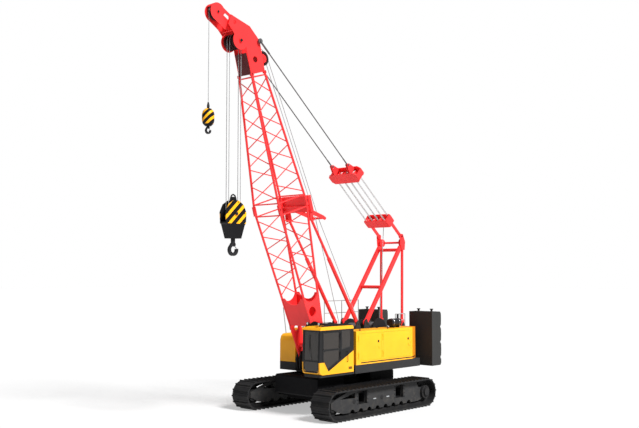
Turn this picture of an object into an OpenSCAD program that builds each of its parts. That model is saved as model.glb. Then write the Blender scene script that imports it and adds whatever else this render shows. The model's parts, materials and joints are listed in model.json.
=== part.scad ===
// Crawler crane with lattice boom, raised gantry, main hook block and auxiliary hook.
// Millimetres. X forward, Y left, Z up. Origin: slew axis at ground level.

/* [Tracks] */
// Overall length of a track
track_length = 6600; // [5000:10:8000]
// Distance between the two track centre lines
track_gauge = 4300; // [3500:10:5000]
// Width of a shoe
shoe_width = 900; // [600:10:1100]
// Height of a track over the lug tips
track_height = 1150; // [900:5:1400]
// Shoes on each track
shoe_count = 62; // [40:1:80]
// Height of the lug on each shoe
lug_height = 40; // [10:1:80]
// Thickness of a shoe's plate
shoe_thickness = 50; // [30:1:80]
// Depth of the link chain inside the shoes
chain_depth = 95; // [60:1:140]
// Width of the link chain
chain_width = 300; // [200:5:400]
// Lower rollers on each side
roller_count = 9; // [5:1:12]
// Radius of a lower roller
roller_r = 110; // [80:5:130]
// Radius of a carrier roller
carrier_r = 85; // [60:5:100]

/* [Undercarriage] */
// Distance of each axle beam from the slew axis
axle_x = 1120; // [800:10:1500]
// Width of an axle beam
axle_width = 500; // [300:10:700]
// Underside of the axle beams
axle_low = 490; // [400:5:600]
// Top of the axle beams
axle_top = 920; // [800:5:940]
// Radius of the slewing ring
ring_radius = 860; // [600:10:1000]
// Underside of the slewing ring
ring_low = 1240; // [1180:5:1300]
// Top of the slewing ring
ring_top = 1400; // [1340:5:1450]
// Half width of a carbody weight
weight_half = 1150; // [900:10:1250]
// Length of a carbody weight
weight_length = 800; // [500:10:900]
// Top of the carbody weights
weight_top = 1440; // [1250:5:1450]

/* [Upperworks] */
// Underside of the deck
deck_low = 1520; // [1480:5:1700]
// Top of the deck
deck_top = 1850; // [1700:5:2000]
// Top of the machinery houses
house_top = 3150; // [2800:10:3500]
// Half width over the houses
house_half = 1700; // [1500:10:1900]
// Inner face of the houses
house_inner = 800; // [700:10:1000]
// Rear end of the houses
house_rear = -3420; // [-3800:10:-3000]
// Front end of the left house
house_front = 700; // [500:10:780]
// Wall of the houses and the cab
wall = 40; // [20:1:60]
// Gap round the doors
door_gap = 6; // [4:1:12]
// Rear end of the main frame
frame_rear = -3780; // [-3900:10:-3700]

/* [Cab] */
// Front of the cab
cab_front = 2765; // [2600:5:2900]
// Rear of the cab
cab_rear = 830; // [800:5:900]
// Underside of the cab
cab_low = 1620; // [1580:5:1660]
// Top of the cab
cab_top = 3400; // [3300:5:3600]
// Thickness of a pane
pane = 12; // [6:1:20]

/* [Counterweight] */
// Front face of the counterweight slabs
slab_front = -3800; // [-3900:10:-3790]
// Rear face of the counterweight slabs
slab_rear = -4460; // [-4700:10:-4300]
// Inner side of a stack
slab_inner = 850; // [750:10:1000]
// Outer side of a stack
slab_outer = 2050; // [1800:10:2200]
// Height of a slab
slab_height = 642; // [500:2:700]

/* [Boom] */
// Boom foot pin, forward of the slew axis
foot_x = 1350; // [1000:10:1600]
// Boom foot pin, height
foot_z = 2150; // [1800:10:2500]
// Angle of the boom above level in the stored pose
boom_angle = 72.7; // [60:0.1:80]
// Splice between the base and the top section, from the foot
splice_s = 6100; // [5000:10:7000]
// End of the lattice, from the foot
lattice_end = 11200; // [9000:10:12000]
// Radius of a chord
chord_r = 44; // [30:1:80]
// Radius of a lacing tube
lace_r = 20; // [12:1:45]
// Half depth of the boom at the splice
splice_depth = 745; // [600:5:900]
// Half width of the boom at the splice
splice_width = 690; // [600:5:900]
// Half depth and half width of the boom at the head
head_half = 340; // [300:5:450]

/* [Rigging] */
// Bail pin on the gantry head, X
bail_x = -3550; // [-3800:10:-3300]
// Bail pin on the gantry head, height
bail_z = 7000; // [6500:10:7400]
// Half spacing of the pendants
pendant_y = 430; // [420:5:500]
// Pendant eye along the boom
pendant_s = 12330; // [12000:5:12600]
// Pendant eye above the boom axis
pendant_n = 380; // [300:5:450]
// Backstop foot pin, X
stop_x = -650; // [-900:10:-400]
// Backstop foot pin, height
stop_z = 3350; // [3000:10:3600]
// Half spacing of the backstops
stop_y = 600; // [500:5:700]
// Distance between backstop pins
stop_length = 4995; // [4000:5:6000]
// Upper backstop eye above the boom axis
stop_n = 885; // [850:5:950]

/* [Hooks] */
// Main sheave centre along the boom
main_s = 12470; // [12000:5:13000]
// Main sheave centre below the boom axis
main_n = 530; // [300:5:800]
// Radius of the main sheaves
sheave_r = 290; // [200:5:400]
// Tip sheave centre along the boom
tip_s = 13610; // [13000:5:14200]
// Tip sheave centre below the boom axis
tip_n = 1155; // [800:5:1400]
// Radius of the tip sheave
tip_r = 282; // [200:2:320]
// Sheave centre of the main hook block, height
block_z = 7560; // [6000:10:9000]
// Bowl radius of the main hook
hook_r = 125; // [90:1:160]
// Bowl centre of the main hook, below the block's sheaves
hook_drop = 1300; // [1250:5:1500]
// Bowl radius of the auxiliary hook
aux_hook_r = 70; // [50:1:90]
// Top of the auxiliary weight, height
aux_z = 11250; // [9000:10:12500]
// Radius of the auxiliary weight
aux_r = 220; // [150:5:300]
// Radius of a rope
rope_r = 12; // [8:1:20]

/* [Hidden] */
$fn = 48;
// Clearance between pieces that seat on each other
gap = 0.4;
// Clearance between a pin and its bore
pin_gap = 0.05;

ca = cos(boom_angle);
sa = sin(boom_angle);
main_x = foot_x + main_s * ca + main_n * sa;
main_z = foot_z + main_s * sa - main_n * ca;
tip_x = foot_x + tip_s * ca + tip_n * sa;
tip_z = foot_z + tip_s * sa - tip_n * ca;

groove = 26;
sheave_w = 80;
tip_w = 90;
luff_w = 46;
aux_x = tip_x + rope_seat(tip_r, tip_w);
hook_z = block_z - hook_drop;

// Luffing rigging: both ends of the pendants, then the sheaves along it
pendant_eye = [foot_x + pendant_s * ca - pendant_n * sa, foot_z + pendant_s * sa + pendant_n * ca];
rig_line = pendant_eye - [bail_x, bail_z];
rig_angle = atan2(rig_line[1], rig_line[0]);
pendant_end = norm(rig_line);
luff_r = 150;
low_s = 960;
up_s = 3790;
pendant_start = up_s + 550;
rope_ys = [-525, -475, -190, -140, 140, 190, 475, 525];

// Backstops: the upper eye lies on the boom at the backstops' length from their foot
stop_w = [foot_x - stop_x - stop_n * sa, foot_z - stop_z + stop_n * ca];
stop_p = stop_w * [ca, sa];
eye_s = -stop_p + sqrt(stop_p * stop_p - stop_w * stop_w + stop_length * stop_length);
stop_line = stop_w + eye_s * [ca, sa];
stop_angle = atan2(stop_line[1], stop_line[0]);
stop_tube_r = 75;
stop_rod_r = 52;

// Main frame: side plates outside the boom foot, the backstops and the gantry legs
frame_half = stop_y + 30;
frame_plate = 40;
leg_y = frame_half - 50;
foot_half = frame_half - 40;
front_pin = [-1200, 3360];
rear_pin = [-3640, 3100];
foot_pin_r = 75;
leg_pin_r = 45;
stop_pin_r = 40;

// Tracks: wheels, and the loop through the shoes' inner faces
wheel_x = (track_length - track_height) / 2;
wheel_z = track_height / 2;
pitch_r = wheel_z - lug_height - shoe_thickness;
chain_r = pitch_r - chain_depth;
straight = track_length - track_height;
loop_step = 15;
wheel_r = chain_r * cos(loop_step / 2) - gap;
pitch = (2 * straight + 2 * PI * pitch_r) / shoe_count;
roller_span = wheel_x - 765;
roller_z = wheel_z - chain_r + roller_r + gap;
carrier_z = wheel_z + chain_r - carrier_r - gap;
carrier_xs = [for (k = [-1:1]) k * (wheel_x - 875)];
track_frame_half = 230;
track_frame_plate = 40;

// Cab and doors
cab_left = house_half - 20;
cab_right = house_inner - 10;
knuckle_r = 12;
hinge_out = 16;
door_low = deck_top + 140;
door_top = house_top - 100;
front_door = [550, -850];
rear_door = [-950, house_rear + 640];
door_zs = [door_low + 160, door_top - 250];
cab_door_zs = [2250, 2950];
cab_line = [[cab_rear, cab_low], [cab_front - 165, cab_low], [cab_front - 50, cab_low + 45],
  [cab_front - 10, cab_low + 140], [cab_front, cab_low + 480], [cab_front - 45, cab_top - 120],
  [cab_front - 80, cab_top - 40], [cab_front - 150, cab_top], [cab_rear + 80, cab_top],
  [cab_rear + 20, cab_top - 25], [cab_rear, cab_top - 90]];
door_line = [[1600, cab_top - 170], [1600, 2105], [2200, cab_low + 180], [2340, cab_low + 180],
  [cab_front - 165, 2150], [cab_front - 175, cab_top - 170]];
door_split = 2530;
seat_low = 2120;

// Boom sections
plate_end = 2500;
lug_half = 55;
beam_z = splice_depth + lug_half + 10;

// Helpers

// A round bar between two points, its seam rolled round it by an angle.
module rod(p, q, r, n = 24, roll = 0) {
  d = q - p;
  l = norm(d);
  translate(p) rotate([0, acos(d[2] / l), atan2(d[1], d[0])]) rotate(roll)
    cylinder(h = l, r = r, $fn = n);
}

// A square bar between two points in an XZ plane.
module beam(p, q, w, t) {
  d = q - p;
  l = norm(d);
  translate(p) rotate([0, acos(d[2] / l), atan2(d[1], d[0])])
    translate([-w / 2, -t / 2, 0]) cube([w, t, l]);
}

// A flat plate drawn in the XZ plane from y0 to y1.
module side(points, y0, y1) {
  translate([0, y1, 0]) rotate([90, 0, 0]) linear_extrude(y1 - y0) polygon(points);
}

// A flat plate drawn in the XY plane from z0 to z1.
module plan(points, z0, z1) {
  translate([0, 0, z0]) linear_extrude(z1 - z0) polygon(points);
}

// A box from corner to corner.
module block(a, b) {
  translate(a) cube(b - a);
}

// A disc or pin along Y.
module across(x, z, r, y0, y1, n = 48) {
  translate([x, y0, z]) rotate([-90, 0, 0]) cylinder(h = y1 - y0, r = r, $fn = n);
}

// The piece and its mirror image on the other side.
module both() {
  children();
  mirror([0, 1, 0]) children();
}

// Along the boom from its foot pin.
module on_boom() {
  translate([foot_x, 0, foot_z]) rotate([0, -boom_angle, 0]) children();
}

// Along the luffing rigging from the bail pin.
module on_rig() {
  translate([bail_x, 0, bail_z]) rotate([0, -rig_angle, 0]) children();
}

// Along a backstop from its foot pin.
module on_stop() {
  translate([stop_x, 0, stop_z]) rotate([0, -stop_angle, 0]) children();
}

// A convex outline, drawn anticlockwise, moved inward by t.
function inset(p, t) = [for (i = [0:len(p) - 1])
  let (a = p[(i + len(p) - 1) % len(p)], b = p[i], c = p[(i + 1) % len(p)],
    u = (b - a) / norm(b - a), v = (c - b) / norm(c - b),
    n = [-u[1], u[0]], m = [-v[1], v[0]])
  b + t * (n + m) / (1 + n * m)];

// Points moved by d.
function moved(p, d) = [for (q = p) q + d];

// Distance of a rope's centre from the axis of a sheave of radius r and width w.
function rope_seat(r, w) = r - groove + (rope_r + gap) * norm([groove, w / 2 - 6]) / (w / 2 - 6);

// A grooved wheel along Y with a bore and a ring of holes.
module sheave(x, z, r, y, w, bore, holes = 6) {
  difference() {
    translate([x, y, z]) rotate([90, 0, 0]) rotate_extrude()
      polygon([[bore, -w / 2], [r, -w / 2], [r, -w / 2 + 6], [r - groove, 0], [r, w / 2 - 6],
        [r, w / 2], [bore, w / 2]]);
    if (holes > 0) for (a = [0:360 / holes:359])
      across(x + 0.56 * r * cos(a), z + 0.56 * r * sin(a), 0.17 * r, y - w, y + w, 24);
  }
}

// Tracks

// A point on the loop, t along the shoes' inner face and h outside it.
function loop_point(t, h) =
  let (a = PI * pitch_r, whole = 2 * straight + 2 * a, u = (t % whole + whole) % whole)
  u < straight ? [u - wheel_x, wheel_z - pitch_r - h] :
  u < straight + a ? [wheel_x + (pitch_r + h) * sin((u - straight) / a * 180),
    wheel_z - (pitch_r + h) * cos((u - straight) / a * 180)] :
  u < 2 * straight + a ? [wheel_x - (u - straight - a), wheel_z + pitch_r + h] :
  [-wheel_x - (pitch_r + h) * sin((u - 2 * straight - a) / a * 180),
    wheel_z + (pitch_r + h) * cos((u - 2 * straight - a) / a * 180)];

// A long oval of radius r round both wheels.
function oval(r) = concat(
  [for (a = [0:loop_step:180]) [wheel_x + r * sin(a), wheel_z - r * cos(a)]],
  [for (a = [0:loop_step:180]) [-wheel_x - r * sin(a), wheel_z + r * cos(a)]]);

module ring_plate(outer, inner, y0, y1) {
  n = len(outer);
  m = len(inner);
  translate([0, y1, 0]) rotate([90, 0, 0]) linear_extrude(y1 - y0)
    polygon(concat(outer, inner), paths = [[for (i = [0:n - 1]) i], [for (i = [0:m - 1]) n + i]]);
}

// A closed loop of shoes, each with a lug, on its link chain.
module track(side_y) {
  tooth = [[0.02, 0.2], [0.02, 1], [0.38, 1], [0.42, 2], [0.58, 2], [0.62, 1], [0.98, 1], [0.98, 0.2]];
  function height(h) = h < 1 ? h * shoe_thickness : shoe_thickness + (h - 1) * lug_height;
  outer = [for (i = [0:shoe_count - 1]) for (p = tooth) loop_point((i + p[0]) * pitch, height(p[1]))];
  color("#26282a") {
    ring_plate(outer, oval(pitch_r), side_y - shoe_width / 2, side_y + shoe_width / 2);
    ring_plate(oval(pitch_r + 6), oval(chain_r), side_y - chain_width / 2, side_y + chain_width / 2);
  }
}

module track_left() track(track_gauge / 2);
module track_right() track(-track_gauge / 2);

hub_r = 230;
hub_half = track_frame_half - track_frame_plate;

// A dished wheel on its hub between the plates of the crawler frame.
module wheel(x, y) {
  w = chain_width / 2 - 40;
  difference() {
    union() {
      across(x, wheel_z, wheel_r, y - w, y + w);
      across(x, wheel_z, hub_r, y - hub_half + gap, y + hub_half - gap);
    }
    for (s = [-1, 1]) difference() {
      across(x, wheel_z, wheel_r - 60, y + s * (w + 20) - 40, y + s * (w + 20) + 40);
      across(x, wheel_z, hub_r, y - 300, y + 300);
    }
  }
}

module idlers() color("#2b2d30") both() wheel(wheel_x, track_gauge / 2);

module drive_sprockets() color("#2b2d30") both() {
  y = track_gauge / 2;
  wheel(-wheel_x, y);
  across(-wheel_x, wheel_z, hub_r + 25, y + track_frame_half + gap, y + track_frame_half + 100);
  across(-wheel_x, wheel_z, hub_r - 80, y + track_frame_half + 90, y + track_frame_half + 170);
}

function roller_x(i) = (2 * i / (roller_count - 1) - 1) * roller_span;

module track_rollers() color("#2b2d30") both() {
  y = track_gauge / 2;
  for (i = [0:roller_count - 1]) {
    across(roller_x(i), roller_z, roller_r, y - 140, y + 140, 24);
    across(roller_x(i), roller_z, 45, y - hub_half + gap, y + hub_half - gap, 24);
  }
  for (x = carrier_xs) across(x, carrier_z, carrier_r, y - 100, y + 100, 24);
}

// Undercarriage

// The outline of a crawler frame's side plate.
frame_line = [[-wheel_x + 165, wheel_z - 275], [-wheel_x + 425, wheel_z - 335],
  [wheel_x - 525, wheel_z - 335], [wheel_x - 245, wheel_z - 275], [wheel_x + 35, wheel_z - 135],
  [wheel_x + 175, wheel_z - 95], [wheel_x + 175, wheel_z + 105], [wheel_x - 245, wheel_z + 285],
  [wheel_x - 725, wheel_z + 430], [-wheel_x + 575, wheel_z + 430], [-wheel_x + 475, wheel_z + 405],
  [-wheel_x + 375, wheel_z + 215], [-wheel_x - 175, wheel_z + 145], [-wheel_x - 175, wheel_z - 145]];

module crawler_frame(s) {
  y = s * track_gauge / 2;
  y0 = y - track_frame_half;
  y1 = y + track_frame_half;
  half = axle_width / 2;
  color("#55585b") difference() {
    union() {
      side(frame_line, y0, y0 + track_frame_plate);
      side(frame_line, y1 - track_frame_plate, y1);
      for (k = [-1, 1])
        block([k * axle_x - half - 90, y0, axle_low - 60], [k * axle_x + half + 90, y1, axle_top + 85]);
      block([1025 - wheel_x, y0, wheel_z - 75], [wheel_x - 1025, y1, wheel_z + 165]);
      for (k = [-1, 1])
        block([k * (wheel_x - 755) - 290, y0, wheel_z - 15], [k * (wheel_x - 755) + 290, y1, wheel_z + 165]);
      for (x = carrier_xs)
        block([x - 60, y - 60, wheel_z + 155], [x + 60, y + 60, carrier_z - carrier_r - gap]);
    }
    // sockets of the axle beams, room for the beam ends, and room for the upper run of the chain
    for (k = [-1, 1]) {
      block([k * axle_x - half - gap, y0 - 70, axle_low - gap], [k * axle_x + half + gap, y1 + 70, axle_top]);
      block([k * axle_x - half, y + s * 200 - 110, axle_top - 10],
        [k * axle_x + half, y + s * 200 + 110, axle_top + 65]);
      block([k * axle_x - half - 150, y - chain_width / 2 - 20, axle_top + 25],
        [k * axle_x + half + 150, y + chain_width / 2 + 20, axle_top + 200]);
    }
    // window behind the idler, and scallops between the rollers
    side([[axle_x + 440, wheel_z + 375], [axle_x + 440, wheel_z + 175], [wheel_x - 305, wheel_z + 200]],
      y0 - 10, y1 + 10);
    for (i = [0:roller_count - 2])
      across((roller_x(i) + roller_x(i + 1)) / 2, wheel_z - 360, 130, y0 - 10, y1 + 10);
  }
}

module crawler_frame_left() crawler_frame(1);
module crawler_frame_right() crawler_frame(-1);

body_x = axle_x + 380;
body_half = weight_half + 100;
body_low = axle_low - 50;
body_top = ring_low - 160;

module carbody() color("#3c3f42") {
  reach = track_gauge / 2 + 120;
  half = axle_width / 2;
  plate = 50;
  difference() {
    union() {
      for (k = [-1, 1])
        block([k * axle_x - half, -reach, axle_low], [k * axle_x + half, reach, axle_top - gap]);
      block([-body_x, -body_half, body_low], [body_x, body_half, body_top]);
      translate([0, 0, body_low]) cylinder(h = ring_low - body_low, r = ring_radius + 100);
    }
    translate([0, 0, body_low - 10]) cylinder(h = ring_low, r = ring_radius - 240);
    // open box from below, with a wall left round the centre
    difference() {
      block([plate - body_x, plate - body_half, body_low - plate],
        [body_x - plate, body_half - plate, body_top - plate]);
      cylinder(h = ring_low, r = ring_radius - 200);
    }
    for (k = [-1, 1]) both()
      block([k * axle_x - half + 40, body_half + plate, axle_low + 40],
        [k * axle_x + half - 40, reach + 1, axle_top - 40]);
  }
  carbody_weight();
  mirror([1, 0, 0]) carbody_weight();
}

// A weight on the end of the carbody, with arms along its top.
module carbody_weight() {
  low = axle_low + 210;
  x1 = body_x + weight_length;
  side([[body_x - 10, low], [x1 - 60, low], [x1, low + 60], [x1, weight_top - 60],
    [x1 - 60, weight_top], [body_x - 10, weight_top]], -weight_half, weight_half);
  both() block([body_x - 700, weight_half - 150, body_top - 20], [body_x, weight_half, weight_top]);
}

module slewing_ring() color("#4a4d50") difference() {
  translate([0, 0, ring_low + gap]) cylinder(h = ring_top - ring_low - 2 * gap, r = ring_radius);
  translate([0, 0, ring_low - 10]) cylinder(h = ring_top, r = ring_radius - 180);
}

// Upperworks

web_top = deck_top + 230;

// Lugs of the gantry, the backstops and the boom foot rise from the side plates.
frame_web = concat(
  [[frame_rear, deck_low + 40], [frame_rear, rear_pin[1] - 40]],
  moved([[0, 200], [140, -40], [260, -600]], rear_pin),
  [[rear_pin[0] + 740, web_top], [front_pin[0] - 300, web_top]],
  moved([[-180, -260], [0, 160], [120, 120], [220, -260]], front_pin),
  moved([[-170, -200], [0, 130], [110, 70], [230, -450]], [stop_x, stop_z]),
  [[stop_x + 400, web_top], [foot_x - 350, web_top]],
  moved([[-200, 130], [0, 210], [190, 110], [290, -150]], [foot_x, foot_z]),
  [[foot_x + 210, deck_low + 40]]);

module turntable_frame() color("#33363a") {
  outer = frame_half + frame_plate;
  difference() {
    union() {
      both() side(frame_web, frame_half, outer);
      both() side(concat([[foot_x - 450, deck_low + 30], [foot_x - 350, web_top]],
        moved([[-170, 140], [0, 190], [170, 130], [250, -150]], [foot_x, foot_z]),
        [[foot_x + 210, deck_low + 30]]), foot_half - 95, foot_half - 60);
      block([frame_rear, -outer - 30, deck_low], [foot_x + 230, outer + 30, deck_low + 45]);
      for (x = [frame_rear, -200])
        block([x, -frame_half - 10, deck_low + 40], [x + 40, frame_half + 10, deck_top + 210]);
      translate([0, 0, ring_top]) cylinder(h = deck_low - gap - ring_top, r = ring_radius);
      translate([0, 0, ring_top]) cylinder(h = deck_low + 5 - ring_top, r = outer + 20);
      for (x = [house_rear + 120, 200])
        both() block([x, outer - 10, deck_low], [x + 100, house_inner - gap, deck_top - 50]);
    }
    translate([0, 0, ring_top - 100]) cylinder(h = 400, r = ring_radius - 240);
  }
  both() across(foot_x, foot_z, foot_pin_r, frame_half - 150, outer + 20);
  both() across(stop_x, stop_z, stop_pin_r, stop_y - 50, outer + 20, 32);
  both() for (p = [front_pin, rear_pin]) across(p[0], p[1], leg_pin_r, leg_y - 65, outer + 20, 32);
}

// A hollow deck under a house, with a cross wall.
module deck(front) {
  divide = -1400;
  difference() {
    block([house_rear + 20, house_inner, deck_low], [front, house_half, deck_top]);
    block([house_rear + 20 + wall, house_inner + wall, deck_low - 1],
      [divide, house_half - wall, deck_top - wall]);
    block([divide + wall, house_inner + wall, deck_low - 1],
      [front - wall, house_half - wall, deck_top - wall]);
  }
}

module deck_left() color("#4a4d50") {
  deck(house_front + 60);
  block([house_front, house_inner, deck_low], [cab_front - 105, cab_left - 40, cab_low - gap]);
}

module deck_right() color("#4a4d50") mirror([0, 1, 0]) deck(1500);

// Fixed knuckles above and below a door's own, on a leaf that lies on the wall.
module fixed_knuckles(x, y, z, h, way) {
  leaf = 60;
  for (z0 = [z - leaf, z + h + gap]) {
    translate([x, y, z0]) cylinder(h = leaf - gap, r = knuckle_r, $fn = 24);
    block([min(x + way * 2, x + way * leaf), y - hinge_out - 1, z0],
      [max(x + way * 2, x + way * leaf), y - 8, z0 + leaf - gap]);
    block([min(x, x + way * 12), y - 10, z0], [max(x, x + way * 12), y - 2, z0 + leaf - gap]);
  }
}

// The outline of a house from above, with its rear corner cut off.
function house_line(front) = [[front, house_inner], [front, house_half], [house_rear + 550, house_half],
  [house_rear, house_half - 250], [house_rear, house_inner]];

// A house of sheet metal, open below.
module house_shell(front) difference() {
  plan(house_line(front), deck_top + gap, house_top);
  plan(inset(house_line(front), wall), deck_top - 10, house_top - wall);
}

module left_house() color("#e3a52c") {
  difference() {
    house_shell(house_front);
    for (d = [front_door, rear_door])
      block([d[1], house_half - 2 * wall, door_low], [d[0], house_half + 10, door_top]);
  }
  for (d = [front_door, rear_door]) for (z = door_zs)
    fixed_knuckles(d[0] + door_gap, house_half + hinge_out, z, 120, 1);
}

// A door leaf with its hinge knuckles at the front and a handle plate at the rear.
module service_door(d) {
  front = d[0];
  rear = d[1];
  x = front + door_gap;
  block([rear + door_gap, house_half - wall, door_low + door_gap],
    [front - door_gap, house_half, door_top - door_gap]);
  for (z = door_zs) {
    translate([x, house_half + hinge_out, z]) cylinder(h = 120, r = knuckle_r, $fn = 24);
    block([front - 70, house_half - 1, z], [front - 10, house_half + 8, z + 120]);
    block([front - 20, house_half + 6, z], [x - 2, house_half + 14, z + 120]);
  }
  block([rear + 60, house_half - 1, door_low + 430], [rear + 180, house_half + 14, door_low + 510]);
}

module service_door_front() color("#e3a52c") service_door(front_door);
module service_door_rear() color("#e3a52c") service_door(rear_door);

module right_house() color("#e3a52c") mirror([0, 1, 0]) difference() {
  house_shell(house_front + 180);
  // two cooling grilles in the outer wall
  for (x = [-2500, -1150]) for (z = [door_low + 120:90:door_top - 200])
    block([x, house_half - 2 * wall, z], [x + 1100, house_half + 10, z + 45]);
}

// The outline of the right front box from the side.
function box_line(low) = [[900, low], [1500, low], [1490, house_top - 450], [1440, house_top - 290],
  [1340, house_top - 210], [1200, house_top - 190], [900, house_top - 190]];

module right_front_box() color("#e3a52c") mirror([0, 1, 0]) difference() {
  side(box_line(deck_top + gap), house_inner + 30, house_half);
  side(inset(box_line(deck_top - 60), 30), house_inner + 60, house_half - 30);
}

module engine_block() color("#5f6468") {
  low = house_inner + 180;
  high = house_half - 200;
  block([-2650, low, deck_top + gap], [-1000, high, house_top - 400]);
  block([-2500, low + 80, house_top - 410], [-1400, high - 80, house_top - 200]);
}

// A silencer on saddles on the left roof, with its tail pipe.
module exhaust() color("#4d4f52") {
  y = house_inner + 450;
  z = house_top + 210;
  rod([-2550, y, z], [-1950, y, z], 160);
  for (x = [-2420, -2080]) block([x - 20, y - 120, house_top + gap], [x + 20, y + 120, z - 80]);
  rod([-2250, y, house_top + gap], [-2250, y, z], 60);
  rod([-2480, y, z], [-2480, y, z + 330], 45);
}

// Cab

// Window openings of the shell, each reduced by g all round.
module cab_windows(g) {
  y0 = cab_right + 80 + g;
  y1 = cab_left - 80 - g;
  low = cab_low + 100 + g;
  high = cab_top - 170 - g;
  front = cab_front - 165;
  // windscreen, and the lower front window with its cut corners
  block([front, y0, cab_low + 530 + g], [cab_front + 100, y1, high]);
  translate([front, 0, 0]) rotate([90, 0, 90]) linear_extrude(300)
    polygon([[y0, cab_low + 490 - g], [y0, low + 110], [y0 + 90, low], [y1 - 90, low], [y1, low + 110],
      [y1, cab_low + 490 - g]]);
  // quarter, right, rear and roof windows
  side([[cab_rear + 170 + g, cab_low + 970 + g], [1520 - g, cab_low + 880 + g], [1520 - g, high],
    [cab_rear + 170 + g, high]], cab_left - 80, cab_left + 40);
  block([cab_rear + 170 + g, cab_right - 40, cab_low + 680 + g], [front - 40 - g, cab_right + 60, high]);
  block([cab_rear - 40, y0 + 30, cab_low + 780 + g], [cab_rear + 70, y1 - 30, high]);
  block([1500 + g, y0 + 80, cab_top - 100], [2400 - g, y1 - 80, cab_top + 100]);
}

module cab_shell() color("#e3a52c") {
  difference() {
    side(cab_line, cab_right, cab_left);
    side(inset(cab_line, wall), cab_right + wall, cab_left - wall);
    side(door_line, cab_left - 80, cab_left + 40);
    cab_windows(0);
  }
  for (z = cab_door_zs) fixed_knuckles(door_line[0][0] - door_gap, cab_left + hinge_out, z, 110, -1);
}

module cab_glass() color("#2c3a40") intersection() {
  depth = 8;
  difference() {
    side(inset(cab_line, depth), cab_right + depth, cab_left - depth);
    side(inset(cab_line, depth + pane), cab_right + depth + pane, cab_left - depth - pane);
  }
  cab_windows(gap);
}

module cab_door() color("#26282a") {
  x = door_line[0][0] - door_gap;
  difference() {
    side(inset(door_line, door_gap + 2), cab_left - wall + 2, cab_left + 2);
    door_windows(0, cab_left - 80, cab_left + 40);
  }
  for (z = cab_door_zs) {
    translate([x, cab_left + hinge_out, z]) cylinder(h = 110, r = knuckle_r, $fn = 24);
    block([x + 2, cab_left + 8, z], [x + 46, cab_left + 18, z + 110]);
    block([x + 18, cab_left, z], [x + 46, cab_left + hinge_out, z + 110]);
  }
  block([2440, cab_left, door_split - 18], [2540, cab_left + 40, door_split + 18]);
}

// The upper and lower windows of the door, each reduced by g all round.
module door_windows(g, y0, y1) intersection() {
  side(inset(door_line, 60 + g), y0, y1);
  union() {
    block([1000, y0 - 1, door_split + 30 + g], [cab_front, y1 + 1, cab_top]);
    block([1000, y0 - 1, cab_low], [cab_front, y1 + 1, door_split - 30 - g]);
  }
}

module cab_door_glass() color("#2c3a40")
  door_windows(gap, cab_left - 14 - pane, cab_left - 14);

// The height of the roof guard's top over the cab at x.
function guard_rise(x) = lookup(x, [[cab_rear + 80, 40], [1900, 90], [2080, 165], [2200, 165], [2380, 80],
  [cab_front - 155, 45]]);

// A guard of slats between two side plates on the cab roof, with two lamps.
module cab_roof_guard() color("#1d1f21") {
  xs = [cab_rear + 80, 1900, 2080, 2200, 2380, cab_front - 155];
  line = concat([for (x = xs) [x, cab_top + guard_rise(x)]],
    [[cab_front - 155, cab_top + gap], [cab_rear + 80, cab_top + gap]]);
  for (y = [cab_right + 40, cab_left - 52]) side(line, y, y + pane);
  for (x = [cab_rear + 120:110:cab_front - 170])
    block([x, cab_right + 45, cab_top + guard_rise(x) - 16], [x + 30, cab_left - 45, cab_top + guard_rise(x) - 6]);
  for (y = [cab_right + 150, cab_left - 150]) {
    block([cab_front - 185, y - 15, cab_top + gap], [cab_front - 165, y + 15, cab_top + 100]);
    translate([cab_front - 190, y, cab_top + 105]) rotate([0, 90, 0]) cylinder(h = 75, r = 55);
  }
}

// Seat on its pedestal, back rest, pedal box and the two consoles.
module operator_seat() color("#26282a") {
  floor = cab_low + wall + gap;
  y = (cab_left + cab_right) / 2;
  block([1250, y - 170, floor], [1650, y + 170, seat_low - 120]);
  block([1180, y - 230, seat_low - 130], [1720, y + 230, seat_low]);
  side([[1180, seat_low + gap], [1300, seat_low + gap], [1220, seat_low + 660], [1100, seat_low + 660]],
    y - 220, y + 220);
  block([cab_front - 415, y - 330, floor], [cab_front - 195, y + 330, floor + 80]);
  block([1300, cab_right + 70, floor], [2200, cab_right + 190, seat_low + 210]);
  block([1300, cab_left - 190, floor], [1900, cab_left - 100, seat_low + 160]);
}

// Counterweight, gantry, winches and rails

slab_low = deck_low + 315;

// A slab's outline, with its rear edges bevelled.
function slab_line(z0, z1) = [[slab_front, z0], [slab_rear + 70, z0], [slab_rear + 10, z0 + 90],
  [slab_rear, (z0 + z1) / 2], [slab_rear + 10, z1 - 90], [slab_rear + 70, z1], [slab_front, z1]];

module counterweight() color("#4b4e51") {
  top = slab_low + 3 * slab_height;
  for (i = [0:2])
    side(slab_line(slab_low + i * slab_height, slab_low + (i + 1) * slab_height), slab_inner, slab_outer);
  for (y = [slab_inner + 260, slab_outer - 260]) translate([(slab_front + slab_rear) / 2, y, top - 10]) {
    cylinder(h = 110, r = 45, $fn = 24);
    translate([0, 0, 90]) cylinder(h = 40, r = 75, $fn = 24);
  }
}

module counterweight_left() counterweight();
module counterweight_right() mirror([0, 1, 0]) counterweight();

module counterweight_tray() color("#3c3f42") {
  low = deck_low - 20;
  side([[frame_rear - 10, low], [slab_rear + 70, low], [slab_rear + 10, low + 90], [slab_rear + 10, slab_low - 95],
    [slab_rear + 70, slab_low - gap], [frame_rear - 10, slab_low - gap]], -slab_outer, slab_outer);
  both() block([frame_rear - 12, frame_half - 70, slab_low], [frame_rear - gap, frame_half + 130, 3000]);
  both() block([frame_rear - 120, frame_half - 70, slab_low - 5], [frame_rear - 1, frame_half + 130, 2300]);
}

leg_foot = front_pin + [-30, 40];
leg_top = [bail_x + 20, bail_z - 481];
leg_width = 190;
leg_half = 42;

// A point on a front leg, t of the way up.
function leg_point(y, t) = let (p = leg_foot + t * (leg_top - leg_foot)) [p[0], y, p[1]];

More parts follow.
